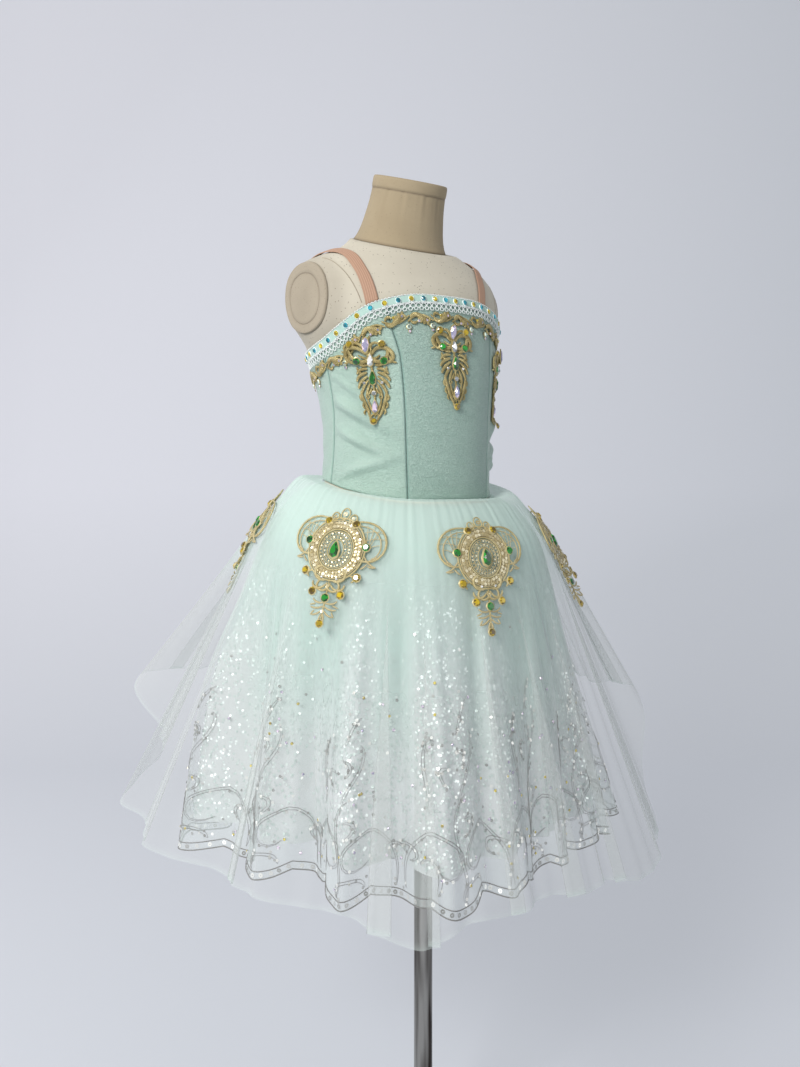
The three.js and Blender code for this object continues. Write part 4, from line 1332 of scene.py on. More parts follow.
@dataclass
class DressForm:
    """The limbless form: torso, arm plates and neck block."""

    bottom: float = 600.0
    top: float = 1034.0
    rows: int = 120
    columns: int = 170
    plate_centre: tuple[float, float] = (56.0, 936.0)
    neck_height: float = 72.0
    band: tuple[float, float] = (58.4, 70.5)

    def build(self) -> None:
        """Builds the four pieces."""
        self.torso()
        self.plate("form_arm_plate_right", -1)
        self.plate("form_arm_plate_left", 1)
        self.neck()

    def torso(self) -> None:
        """The skin, flat where the arms would be and cut by the neck's tilted seat, with painted
        shade toward the armholes.
        """
        turn = np.linspace(0, 360, self.columns, endpoint=False)[None]
        z = np.linspace(self.bottom, self.top, self.rows)[:, None]
        points = form_point(turn, z, 0.0)
        points[..., 0] = np.clip(points[..., 0], -PLATE_FACE, PLATE_FACE)
        y_foot, z_foot = NECK_FOOT
        seat = z_foot + (points[..., 1] - y_foot) * np.tan(rad(NECK_LEAN)) - 0.3
        points[..., 2] = np.minimum(points[..., 2], seat)
        hub_low = np.array([0.0, 34.0, self.bottom])
        hub_top = np.array([0.0, y_foot, z_foot - 0.3])
        ends = [
            np.broadcast_to(mix(hub, ring, s), ring.shape)
            for hub, ring, s in ((hub_low, points[0], 0.001), (hub_top, points[-1], 0.001))
        ]
        points = join([ends[0][None], points, ends[1][None]])
        # Painted shade: the cover darkens toward the armholes, where the form curves away from the
        # light.
        armhole = 0.3 * ease((np.abs(points[..., 0]) - 96) / 14) * (points[..., 2] > 860)
        cloth = Cloth()
        cloth.grid(points, closed=True, tone=armhole, stretch=(0.66, 0.45))
        for side in (-1, 1):
            self.shoulder_seam(cloth, side)
        piece = cloth.mesh("form_torso_cover", "linen_cover", "plate_linen")
        finish_piece(piece, "linen_cover", "form_torso")

    @staticmethod
    def shoulder_seam(cloth: Cloth, side: int) -> None:
        """A fine raised seam from the shoulder down to the front of the armhole."""
        share = np.linspace(0, 1, 40)
        x, z = 107 - 17 * share**0.8, 980 - 52 * share
        half, middle, front, _ = section(z)
        y = middle - (middle - front) * (1 - (x / half) ** ROUNDNESS) ** (1 / ROUNDNESS)
        path = stacked(side * x, y, z)[None]
        normal = unit(path - np.array([0.0, 61.0, 940.0]))
        sweep(cloth, path, normal, np.full(path.shape[:2], 0.5), 0.35, 6, 1)

    def plate(self, name: str, side: int) -> None:
        """An arm plate: rings from the skin's own section in to a flat face with a round seam."""
        y0, z0 = self.plate_centre
        turn = circle(120)
        ring_x = [PLATE_FACE + 0.3, PLATE_FACE + 0.3]
        shares = [0.002, 1.0]
        for s in np.linspace(0, 1, 7)[1:]:
            ring_x.append(PLATE_FACE + 0.3 + (PLATE_THICK - 0.3) * np.sin(s * np.pi / 2))
            shares.append(1 - 0.035 * (1 - np.cos(s * np.pi / 2)))
        for share in (0.9, 0.8, 0.735, 0.72, 0.71, 0.7, 0.685, 0.6, 0.4, 0.2, 0.002):
            groove = 0.7 * np.exp(-(((share - 0.71) / 0.012) ** 2))
            ring_x.append(PLATE_FACE + PLATE_THICK - groove)
            shares.append(share)
        reach = self.section_reach(PLATE_FACE + 0.3, turn)
        rows = []
        for x, share in zip(ring_x, shares):
            y = y0 + reach * share * np.cos(turn)
            z = z0 + reach * share * np.sin(turn)
            rows.append(stacked(np.full_like(y, side * x), y, z))
        dark = 0.35 * np.exp(-(((np.array(shares) - 0.71) / 0.02) ** 2))
        tone = np.broadcast_to(dark[:, None], (len(rows), len(turn)))
        cloth = Cloth()
        cloth.grid(np.array(rows), True, flip=side < 0, tone=tone, stretch=(0.28, 0.1))
        piece = cloth.mesh(f"{name}_cover", "plate_linen")
        finish_piece(piece, "plate_cover", name)

    def section_reach(self, x: float, turn: Array) -> Array:
        """How far the form's section at x reaches from the plate's centre, by halving."""
        y0, z0 = self.plate_centre
        inside = lambda r: form_depth(x, y0 + r * np.cos(turn), z0 + r * np.sin(turn)) < 1
        return last_inside(np.zeros_like(turn), np.full_like(turn, 90.0), inside)

    def neck(self) -> None:
        """The neck block: a tilted turned cover with fine creases, a band and a flat cap."""
        turn = circle(160)
        up = np.linspace(0, self.band[0] - 0.2, 40)
        radius = NECK_OUTLINE.value("radius", up)
        crease = np.zeros((len(up), len(turn)))
        for count, phase, height in ((17, 0.3, 0.24), (29, 2.0, 0.2), (41, 4.4, 0.13)):
            crease += height * np.sin(count * turn[None] + phase + 0.01 * up[:, None])
        crease *= (up[:, None] / self.band[0]) ** 2
        rows = [radius[:, None] + crease]
        heights = [up]
        low, high = self.band
        for r, h in (
            (40.3, low), (41.0, low + 0.5), (41.35, low + 3), (41.4, (low + high) / 2),
            (41.3, high - 2), (41.0, high), (40.2, self.neck_height - 0.3),
            (39.2, self.neck_height), (30, self.neck_height), (12, self.neck_height),
            (0.02, self.neck_height),
        ):
            rows.append(np.full((1, len(turn)), r))
            heights.append(np.array([h]))
        foot = np.full((1, len(turn)), 0.02)
        radius = join([foot, *rows])
        up = join([[0.0], *heights])[:, None] * np.ones((1, len(turn)))
        x, y = radius * np.cos(turn), radius * np.sin(turn)
        lean = rad(NECK_LEAN)
        points = np.stack(
            [
                x, NECK_FOOT[0] + y * np.cos(lean) - up * np.sin(lean),
                NECK_FOOT[1] + y * np.sin(lean) + up * np.cos(lean),
            ],
            axis=-1,
        )
        # A dark line at the band's lower edge, and painted shade round the foot where the neck
        # meets the torso.
        tone = 0.5 * np.exp(-(((up - low) / 0.5) ** 2)) + 0.35 * (up < 1.5)
        cloth = Cloth()
        cloth.grid(points, closed=True, tone=tone, stretch=(0.27, 0.08))
        piece = cloth.mesh("form_neck_cover", "neck_linen")
        finish_piece(piece, "neck_cover", "form_neck")


# ---- bodice


@dataclass(frozen=True)
class Panel:
    """A bodice panel between two seams, each with its angle at the waist and at the top."""

    name: str
    start: tuple[float, float]
    end: tuple[float, float]
    flat: tuple[float, float]

    def mirrored(self) -> "Panel":
        """The same panel on the wearer's right."""
        flip = lambda seam: (-seam[0], -seam[1])
        return Panel(self.name, flip(self.end), flip(self.start), self.flat)


PRINCESS, SIDE_SEAM, BACK_SEAM, CLOSING = (34, 38), (94, 84), (136, 132), (180, 180)


@dataclass
class Bodice:
    """The satin bodice with its lace, straps, garland and pendants."""

    seam_gap: float = 0.3
    reach: float = 90.0
    rows: int = 84
    columns: int = 46
    lip: float = 1.6
    lace_reach: float = 100.0
    strap_width: float = 11.0
    strap_thick: float = 1.2

    def build(self) -> None:
        """Builds the panels first and then what lies on them."""
        front = Panel("front_centre", (-PRINCESS[0], -PRINCESS[1]), PRINCESS, (0.14, 0.22))
        self.panel(front, "bodice_front_centre")
        for panel in (
            Panel("front_side", PRINCESS, SIDE_SEAM, (0.11, 0.205)),
            Panel("side", SIDE_SEAM, BACK_SEAM, (0.085, 0.155)),
            Panel("back", BACK_SEAM, CLOSING, (0.085, 0.145)),
        ):
            self.panel(panel, f"bodice_{panel.name}_left")
            self.panel(panel.mirrored(), f"bodice_{panel.name}_right")
        self.lace()
        self.strap("strap_right", -1, 81.0, 89.0)
        self.strap("strap_left", 1, 54.0, 80.0)
        self.garland()

    def panel(self, panel: Panel, node: str) -> None:
        """A panel's wall: its outer face carries the drag folds and rolls in at its edges."""
        u = np.linspace(0, 1, self.columns)[None]
        v = np.linspace(0, 1, self.rows)[:, None]
        gap = arc_angle(self.seam_gap / 2, self.reach)
        start = mix(panel.start[0], panel.start[1], v) + gap
        end = mix(panel.end[0], panel.end[1], v) - gap
        angle = mix(start, end, u)
        z = mix(waist_line(angle), top_line(angle), v)
        wide = np.abs(end - start) * np.pi / 180 * self.reach
        edge = np.minimum(np.minimum(u, 1 - u) * wide, np.minimum(v, 1 - v) * 200)
        roll = np.sqrt(np.clip(1 - (1 - np.clip(edge / self.lip, 0, 1)) ** 2, 0, 1))
        creases = self.small_creases(angle, z) * ease(edge / 10)
        fold = satin_fold(angle, z) * ease(edge / 8)
        outer = form_point(angle, z, EASE + 0.5 + (SATIN - 0.5) * roll + fold + creases)
        inner = form_point(angle, z, np.full_like(angle, EASE))
        tone = 0.5 * np.exp(-((np.minimum(u, 1 - u) * wide / 0.8) ** 2)) * np.ones_like(angle)
        cloth = Cloth()
        cloth.shell(outer, inner, tone)
        # The front centre panel takes the darker satin copy, as painted shade.
        satin = "mint_satin_front_shaded" if panel.name == "front_centre" else "mint_satin"
        piece = cloth.mesh(f"{node}_satin", satin, weld=True)
        finish_piece(piece, "satin", node)

    @staticmethod
    def small_creases(angle: Array, z: Array) -> Array:
        """Shallow uneven creases that pull level across the cloth, stronger at the sides."""
        side = ease((np.abs(wrap(angle)) - 25) / 40)
        warp = 5 * np.sin(rad(angle) * 3 + 0.6) + 3 * np.sin(rad(angle) * 7 + 1.9)
        wave = 0.5 * np.sin((z + warp) / 5.2) + 0.35 * np.sin((z - 1.6 * warp) / 8.7 + 1.0)
        patch = 0.5 + 0.5 * np.sin(rad(angle) * 5 + z / 31)
        return (0.25 + 0.8 * side) * wave * patch

    def lace_lay(self, side: Array, down: Array, out: Array) -> Array:
        """A place on the neckline lace: side along it, down from its upper edge."""
        angle = arc_angle(side, self.lace_reach)
        z = top_line(angle) + LACE_PROUD - down
        return form_point(angle, z, EASE + SATIN + LAID_GAP + out)

    def lace(self) -> None:
        """A narrow band under chained picot cords, with stones along its middle."""
        half_run = np.pi * self.lace_reach - 0.6
        side = np.linspace(-half_run, half_run, 1100)[None]
        down = np.array([0.8, 2.0, 4.0, 6.0, 8.0, 10.0])[:, None]
        s, d = np.broadcast_arrays(side[:, ::3], down)
        wave = 0.12 * np.sin(s * 1.9) * np.sin(d * 1.1)
        outer, inner = self.lace_lay(s, d, 0.75 + wave), self.lace_lay(s, d, 0 * s + 0.3)
        strip = Cloth()
        strip.shell(outer[::-1], inner[::-1])
        band = strip.mesh("neckline_lace_band", "lace_strip", weld=True)
        cloth = Cloth()
        cords = (
            # middle, sway, pitch, phase, half width
            (0.9, 0.7, 3.0, 0.0, 0.55), (9.2, 0.8, 2.8, 0.0, 0.45), (9.6, 0.8, 2.8, np.pi, 0.45),
        )
        for middle, sway, pitch, phase, wide in cords:
            turn = side * 2 * np.pi / pitch + phase
            along = side + 0.5 * np.sin(2 * turn)
            low = middle + sway * np.sin(turn)
            half = np.full_like(side, wide)
            lay_scrolls(cloth, self.lace_lay, along, low, half, np.ones(1, int), 0.8, 4)
        loop = np.linspace(0, 2 * np.pi, 11)[:-1][None]
        for start, low, radius, wide in ((3, 12.6, 2.4, 0.5), (5.8, 15.6, 1.9, 0.5)):
            picot = np.arange(-half_run + start, half_run - 3, 5.6)[:, None]
            loops = picot + radius * np.cos(loop)
            drops = low + radius * np.sin(loop) + 0 * loops
            half = np.full(loops.shape, wide)
            own = np.ones(len(picot), int)
            lay_scrolls(cloth, self.lace_lay, loops, drops, half, own, 0.7, 4, True)
        rng = draw(0)
        places = np.arange(-half_run + 6, half_run - 6, 12.6)
        stones = [Stone(s, 5.4, 2.8, 3.0, 2 + (number % 2)) for number, s in enumerate(places)]
        lay_stones(cloth, self.lace_lay, stones, 1.2, 5, rng)
        piece = cloth.mesh(
            "neckline_lace_picot",
            "lace_strip", "lace_cord", "teal_glass", "citrine_glass", "clear_glass", "lace_cord",
        )
        smooth_only(piece, (0, 1))
        finish_piece(piece, "lace", "neckline_lace")
        finish_piece(band, "lace")

    def strap(self, node: str, side: int, foot: float, ridge: float) -> None:
        """A ribbed elastic over the shoulder, laid along the skin's own normal."""
        along = np.linspace(0, 1, 90)[:, None]
        across = np.linspace(-0.5, 0.5, 27)[None] * self.strap_width
        rib = 0.5 + 0.5 * np.cos(across * 2 * np.pi / (self.strap_width / 6))
        edge = ease((self.strap_width / 2 - np.abs(across)) / 0.7)
        high = (self.strap_thick - 0.35) * (0.35 + 0.65 * edge) + 0.22 * rib * edge
        a, b = np.broadcast_arrays(across, along)
        outer = strap_point(foot, ridge, a, b, STRAP_OUT + high + 0 * b)
        inner = strap_point(foot, ridge, a, b, STRAP_OUT + 0 * b)
        for grid in (outer, inner):
            grid[..., 0] *= side
        if side < 0:
            outer, inner = outer[:, ::-1], inner[:, ::-1]
        # Painted shade: darker in the grooves between the ribs and along the strap's edges.
        tone = np.broadcast_to((1 - rib) * 0.8 + 0.5 * (1 - edge), a.shape)
        cloth = Cloth()
        cloth.shell(outer, inner, tone)
        piece = cloth.mesh(f"{node}_elastic", "nude_elastic", weld=True)
        finish_piece(piece, "elastic", node)

    def garland_lay(self, side: Array, down: Array, out: Array) -> Array:
        """A place on the garland: side along it, down from its middle line."""
        angle = arc_angle(side, self.lace_reach)
        sway = GARLAND_SWAY * np.sin(rad(angle * 180 / GARLAND_UNIT))
        z = top_line(angle) - GARLAND_UNDER + sway - down
        return form_point(angle, z, EASE + SATIN + LAID_GAP + out)

    def garland(self) -> None:
        """Leafy gold scrolls in turn above and below a waving stem, with stones and pearls."""
        pitch = self.lace_reach * np.pi * GARLAND_UNIT / 180
        count = 24
        unit_rows = strokes(
            (-pitch / 2, 3.0, -35, 28, 2.4, 2.6, 1.3), (-9, -0.5, -40, 13.5, 7, 17, 2.6),
            (-6, -1.5, -14, 14, 6, 16, 2.6), (-2, -1.0, 10, 13, 4, 15, 2.4),
            (3, 0.5, 34, 10, 2, 12, 2.1), (4, 1.5, 66, 10, -10, -25, 1.8),
            (-9, 3.0, 84, 8, -12, -24, 1.6),
        )
        side, down, half, slot = scroll_paths(unit_rows, 13, False)
        middles = (np.arange(-count / 2, count / 2) + 0.5) * pitch
        middles = middles[np.abs(arc_angle(middles, self.lace_reach)) < 170]
        flip = np.where(np.arange(len(middles)) % 2, -1.0, 1.0)[:, None, None]
        sides = (side[None] + middles[:, None, None]).reshape(-1, side.shape[1])
        downs = (down[None] * flip).reshape(-1, side.shape[1])
        halves = np.tile(half, (len(middles), 1))
        cloth = Cloth()
        slots = np.zeros(len(sides), int)
        lay_scrolls(cloth, self.garland_lay, sides, downs, halves, slots, 0.5, 8, vein=0.5)
        rng = draw(1)
        stones = []
        for number, middle in enumerate(middles):
            sign = -1 if number % 2 else 1
            stones.append(Stone(middle + 7.0, 4.0 * sign, 2.1, 2.1, 1))
            stones.append(Stone(middle - 1.0, 5.0 * sign, 1.5, 1.5, 1 + number % 2))
            if number % 3:
                stones.append(Stone(middle - pitch / 2, 8.6, 2.7, 2.7, 3))
                stones.append(Stone(middle - pitch / 2, 13.2, 1.4, 1.4, 1))
        lay_stones(cloth, self.garland_lay, stones, 0.8, 0, rng)
        piece = cloth.mesh(
            "bodice_garland_scrolls",
            "gold_thread", "rainbow_glass", "citrine_glass", "mint_pearl",
        )
        smooth_only(piece, (0, 3))
        finish_piece(piece, "gold_cord", "bodice_garland")


def smooth_only(piece: Piece, slots: Sequence[int]) -> None:
    """Leaves only the faces of some slots smooth; the stones keep their facets."""
    own = np.empty(len(piece.data.polygons), dtype=np.int32)
    piece.data.polygons.foreach_get("material_index", own)
    piece.data.polygons.foreach_set("use_smooth", np.isin(own, slots))
    piece.data.update()


def strap_point(foot: float, ridge: float, across: Array, along: Array, out: Array) -> Array:
    """A point of a strap: it climbs from the front edge to the shoulder and down to the back.

    The width from the centre follows a quarter sine from foot to ridge, and the height
    from the bodice's edge to the form's ridge there. `out` runs along the skin's normal.
    """
    behind = along > 0.5
    rise = np.sin(np.where(behind, 2 * (1 - along), 2 * along) * np.pi / 2)
    width = mix(foot, ridge, rise) + across
    low = np.where(behind, 180.0, 0.0) + 0 * width
    high = np.where(behind, 100.0, 80.0) + 0 * width
    short = lambda angle: form_point(angle, top_line(angle), 0.0)[..., 0] < width
    start = top_line(last_inside(low, high, short)) + 1
    low, high = np.full_like(width, 940.0), np.full_like(width, 1034.0)
    ridge_z = last_inside(low, high, lambda z: FORM_SECTIONS.value("half", z) > width)
    z = mix(start, ridge_z - 0.02, rise)
    half, middle, front, back = section(z)
    share = np.maximum(1 - (width / half) ** ROUNDNESS, 0) ** (1 / ROUNDNESS)
    y = np.where(behind, middle + (back - middle) * share, middle - (middle - front) * share)
    place = stacked(width, y, z)
    depth = lambda point: form_depth(*np.moveaxis(point, -1, 0))
    rises = [depth(place + step) - depth(place - step) for step in 0.05 * np.eye(3)]
    return place + unit(np.stack(rises, axis=-1)) * np.asarray(out)[..., None]


def last_inside(low: Array, high: Array, inside: Callable[[Array], Array]) -> Array:
    """The last value from low towards high for which `inside` holds, by halving."""
    for _ in range(40):
        half_way = (low + high) / 2
        keep = inside(half_way)
        low, high = np.where(keep, half_way, low), np.where(keep, high, half_way)
    return low


def form_depth(x: Array, y: Array, z: Array) -> Array:
    """How deep a point lies in the form: 1 on its skin and more outside."""
    half, middle, front, back = section(z)
    depth = np.where(y < middle, middle - front, back - middle)
    return (np.abs(x) / half) ** ROUNDNESS + (np.abs(y - middle) / depth) ** ROUNDNESS


# ---- pendants and medallions


@dataclass
class Appliques:
    """The pendants on the bodice and the medallions on the skirt."""

    pendants: tuple[tuple[str, float, float], ...] = (
        ("pendant_centre", -2, 909), ("pendant_right", -54, 893), ("pendant_left", 54, 893),
    )
    medallions: tuple[tuple[str, float, float, float, float], ...] = (
        ("medallion_front", -4.5, 19, -3, 1.2), ("medallion_front_right", -60.5, 17, -3, 1.2),
        ("medallion_back_right", -122, 17, 0, 1.9), ("medallion_back", 178, 17, 2, 1.2),
        ("medallion_back_left", 118, 17, 1, 1.2), ("medallion_front_left", 57, 18, 0, 1.9),
    )

    def build(self) -> None:
        """Builds each in turn."""
        for number, (name, at, top) in enumerate(self.pendants):
            self.pendant(name, at, top, number)
        for number, row in enumerate(self.medallions):
            self.medallion(*row, number)

    @staticmethod
    def pendant_lay(at: float, top: float) -> Lay:
        """The bodice under a pendant, lifted over the garland and the drag folds."""

        def lay(side: Array, down: Array, out: Array) -> Array:
            """A place on it."""
            z = top - down
            angle = at + arc_angle(side, form_radius(at, z))
            foot = top_line(angle) - GARLAND_UNDER - 20
            lift = OVER_GARLAND * np.clip((z - foot) / 8, 0, 1) + satin_fold(angle, z)
            return form_point(angle, z, EASE + SATIN + LAID_GAP + lift + out)

        return lay

    def pendant(self, name: str, at: float, top: float, number: int) -> None:
        """Scrolls and leaves in mirror pairs round a line of stones."""
        lay = self.pendant_lay(at, top)
        cloth = Cloth()
        pairs = strokes(
            (3, 18, -60, 41, 3.4, 9.4, 2.3), (3, 14, -80, 14, 4, 13, 1.6),
            (19, 12, 88, 36, 2.6, 10.2, 2.3), (20, 20, 96, 10, -7, -14, 1.4),
            (4, 29, 20, 12, -5, -16, 1.5), (10, 19, 132, 12, 4, 10, 1.3),
            (15, 31, 96, 11, 4, 11, 1.5), (5, 33, -8, 13, 3.0, 9.0, 1.7),
            (5.5, 36.5, 12, 15, 1.5, 7.0, 1.8), (5.5, 40.5, 30, 16, 0.8, 5.5, 1.8),
            (5, 44.5, 48, 16, 0.4, 4.5, 1.7), (4, 48.5, 66, 14, 0.0, 3.5, 1.5),
            (2.5, 52, 82, 9, -4, -9, 1.2), (6.4, 59.6, 0, 10.0, 34, 38, 0.9),
            (13, 55, 102, 30, 0.2, 1.1, 1.8), (12, 58, 40, 9, 8, 20, 1.3),
            (11, 66, 46, 8, 8, 20, 1.2), (9, 73, 52, 7, 8, 20, 1.1),
            (7, 62, 98, 19, 0.6, 2.4, 1.3), (2.5, 79, 66, 7, 4, 12, 1.2),
        )
        lay_scrolls(cloth, lay, *scroll_paths(pairs, 16, True), 0.7, 8, vein=0.5)
        stem = [Stroke(0, 4, 90, 78, 0, 0, 1.4)]
        lay_scrolls(cloth, lay, *scroll_paths(stem, 30, False), 0.3, 6)
        pear, boat = Cut.PEAR, Cut.NAVETTE
        stones = [
            Stone(0, 9, 3.9, 7.6, 1, boat), Stone(-15.5, 8, 3.6, 3.6, 2),
            Stone(15.5, 8, 3.6, 3.6, 2), Stone(-13.5, 25, 3.9, 3.9, 3),
            Stone(13.5, 25, 3.9, 3.9, 3), Stone(0, 24, 4.2, 6.4, 4, pear),
            Stone(0, 42, 4.6, 7.2, 3, pear), Stone(-9, 47, 1.6, 1.6, 4),
            Stone(9, 47, 1.6, 1.6, 4), Stone(0, 57.5, 2.6, 2.6, 4),
            Stone(0, 71, 4.0, 6.6, 1, pear), Stone(0, 86.5, 3.3, 3.3, 2),
        ]
        lay_stones(cloth, lay, stones, 1.9, 0, draw(20 + number))
        piece = cloth.mesh(
            f"{name}_scrolls",
            "gold_thread", "rainbow_glass", "amber_glass", "green_glass", "clear_glass",
        )
        smooth_only(piece, (0,))
        finish_piece(piece, "gold_cord", name)

    @staticmethod
    def medallion_lay(at: float, start: float, lean: float, gap: float) -> Lay:
        """The overlay under a medallion."""

        def lay(side: Array, down: Array, out: Array) -> Array:
            """A place on it."""
            fall = start + down * MEDALLION_SLANT
            turn = lean * down / MEDALLION_LENGTH
            angle = at + turn + arc_angle(side, overlay_radius(at + 0 * fall, fall))
            return OVERLAY.point(angle, fall, out + gap)

        return lay

    def medallion(
        self, name: str, at: float, start: float, lean: float, gap: float, number: int
    ) -> None:
        """Oval rings with sequins between them, wings, sprigs and scrolls down to a drop."""
        lay = self.medallion_lay(at, start, lean, gap)
        cloth = Cloth()
        self.rings(cloth, lay)
        pairs = strokes(
            (13, 11, -15, 89, 1.3, 4.3, 1.3), (16, 14, -8, 75, 1.6, 4.7, 0.8, 1),
            (21, 15, 62, 22, 0.5, 1.5, 0.45, 1), (26, 12, 70, 26, 0.8, 1.2, 0.45, 1),
            (33, 12, 84, 25, 0.6, 1.0, 0.45, 1), (39, 15, 100, 20, 0.4, 1.0, 0.45, 1),
            (22, 22, -30, 22, 1.5, 3.0, 0.45, 1), (26, 30, -34, 22, 1.5, 3.0, 0.45, 1),
            (31, 37, -38, 15, 1.5, 3.0, 0.45, 1), (31, 44, 62, 17, -2, -4, 1.1, 1),
            (34, 49, 5, 9, -3, -6, 1.0, 1), (36, 54, 20, 8, -3, -6, 1.0, 1),
            (35, 52, 120, 8, 3, 6, 1.0, 1), (38, 46, -20, 7, 0, 4, 0.9, 1),
            (29, 50, 110, 8, 2, 4, 0.9, 1), (5, 74, 12, 27, -5, -10, 1.6),
            (9, 74, 42, 15, 5, 16, 1.4), (3, 78, 62, 20, -5, -11, 1.5),
            (2, 76, 95, 18, 4, 11, 1.4), (20, 66, -10, 11, 10, 22, 1.3),
            (1, 97, 20, 13, -4, -8, 1.1, 1), (1, 101, 35, 13, -3, -6, 1.1, 1),
            (1, 105, 55, 12, -3, -6, 1.1, 1), (9, 99, 20, 6, 0, 0, 0.9, 1),
            (9, 106, 60, 6, 0, 0, 0.9, 1), (1, 109, 70, 10, 2, 6, 1.0, 1),
        )
        lay_scrolls(cloth, lay, *scroll_paths(pairs, 15, True), 0.7, 5)
        stem = [Stroke(0, 72, 90, 47, 0, 0, 1.0)]
        lay_scrolls(cloth, lay, *scroll_paths(stem, 20, False), 0.4, 5)
        stones = [Stone(0, 41, 6.4, 8.4, 3, Cut.PEAR)]
        for sign in (-1, 1):
            stones += [
                Stone(sign * 15, 13, 3.9, 3.9, 4), Stone(sign * 31, 35, 4.1, 4.1, 3),
                Stone(sign * 28, 67, 4.0, 4.0, 4), Stone(sign * 15, 87, 3.9, 3.9, 4),
                Stone(sign * 8, 71, 1.4, 1.4, 5),
            ]
        stones += [Stone(0, 92, 4.1, 4.1, 3), Stone(0, 119, 3.7, 3.7, 4)]
        lay_stones(cloth, lay, stones, 1.8, 0, draw(30 + number))
        self.sequins(cloth, lay, draw(40 + number))
        piece = cloth.mesh(
            f"{name}_lace", "champagne_cord", "pale_gold_thread", "champagne_sequin",
            "green_glass", "amber_glass", "clear_glass",
        )
        smooth_only(piece, (0, 1))
        finish_piece(piece, "gold_cord", name)

    @staticmethod
    def rings(cloth: Cloth, lay: Lay) -> None:
        """The oval rings, the band under the sequins, and three circles on top."""
        turn = circle(72)[None]
        for wide, tall, half, high, slot in (
            (30.5, 32.5, 1.0, 0.8, 0), (28.2, 30.2, 0.7, 0.6, 1), (23.6, 25.6, 4.2, 0.35, 1),
            (19.2, 21.2, 0.9, 0.8, 0), (17.2, 19.2, 0.55, 0.5, 1), (13.4, 15.4, 0.45, 0.5, 1),
            (8.6, 11.2, 0.7, 0.6, 0),
        ):
            side, down = wide * np.sin(turn), MEDALLION_MIDDLE - tall * np.cos(turn)
            path, _, _, normal = axes_on(lay, side, down, 0.5 + high / 2)
            sweep(cloth, path, normal, half, high, 6, slot, True)
        turn = circle(20)[None]
        for middle, height, radius in ((0, 5.2, 4.6), (-9.8, 8.2, 3.7), (9.8, 8.2, 3.7)):
            side, down = middle + radius * np.sin(turn), height - radius * np.cos(turn)
            path, _, _, normal = axes_on(lay, side, down, 1.0)
            sweep(cloth, path, normal, 0.8, 0.7, 6, 0, True)
        spoke = circle(26)
        run = np.array([0.0, 0.5, 1.0])[None]
        for near, far, bend in ((14.6, 16.8, 0.12), (9.8, 13.0, -0.12)):
            at = spoke[:, None] + bend * run
            side = mix(near, far, run) * np.sin(at)
            down = MEDALLION_MIDDLE - (mix(near, far, run) + 2.2) * np.cos(at)
            half = np.full(side.shape, 0.42)
            lay_scrolls(cloth, lay, side, down, half, np.ones(len(side), int), 0.5, 4)

    @staticmethod
    def sequins(cloth: Cloth, lay: Lay, rng: np.random.Generator) -> None:
        """Champagne sequins between the rings, and beads round the stone and in the circles."""
        rows = (
            # half width, half height, count, radius
            (25.7, 27.7, 46, 1.7), (21.9, 23.9, 40, 1.7), (15.3, 17.3, 30, 1.0),
            (11.0, 13.3, 18, 0.95),
        )
        sides, downs, sizes = [], [], []
        for wide, tall, count, radius in rows:
            turn = circle(count)
            sides.append(wide * np.sin(turn))
            downs.append(MEDALLION_MIDDLE - tall * np.cos(turn))
            sizes.append(np.full(count, radius))
        sides.append(np.array([0, -9.8, 9.8, 0, 0]))
        downs.append(np.array([5.2, 8.2, 8.2, 80, 106]))
        sizes.append(np.array([2.6, 2.0, 2.0, 2.0, 1.8]))
        side, down, size = (join(x) for x in (sides, downs, sizes))
        places = axes_on(lay, side, down, 1.5)
        lay_discs(cloth, places, size, rng, 2, 9, 0.22, 0.1, 0.12)


# ---- skirt


@dataclass(frozen=True)
class Doubling:
    """A place where the overlay folds back over itself: its angle, width and depth."""

    at: float
    width: float
    spread: float = 2.2
    depth: float = 1.0


def doubled(*rows: tuple[float, ...]) -> tuple[Doubling, ...]:
    """Doublings from a table: at, width, spread, depth."""
    return tuple(Doubling(*row) for row in rows)


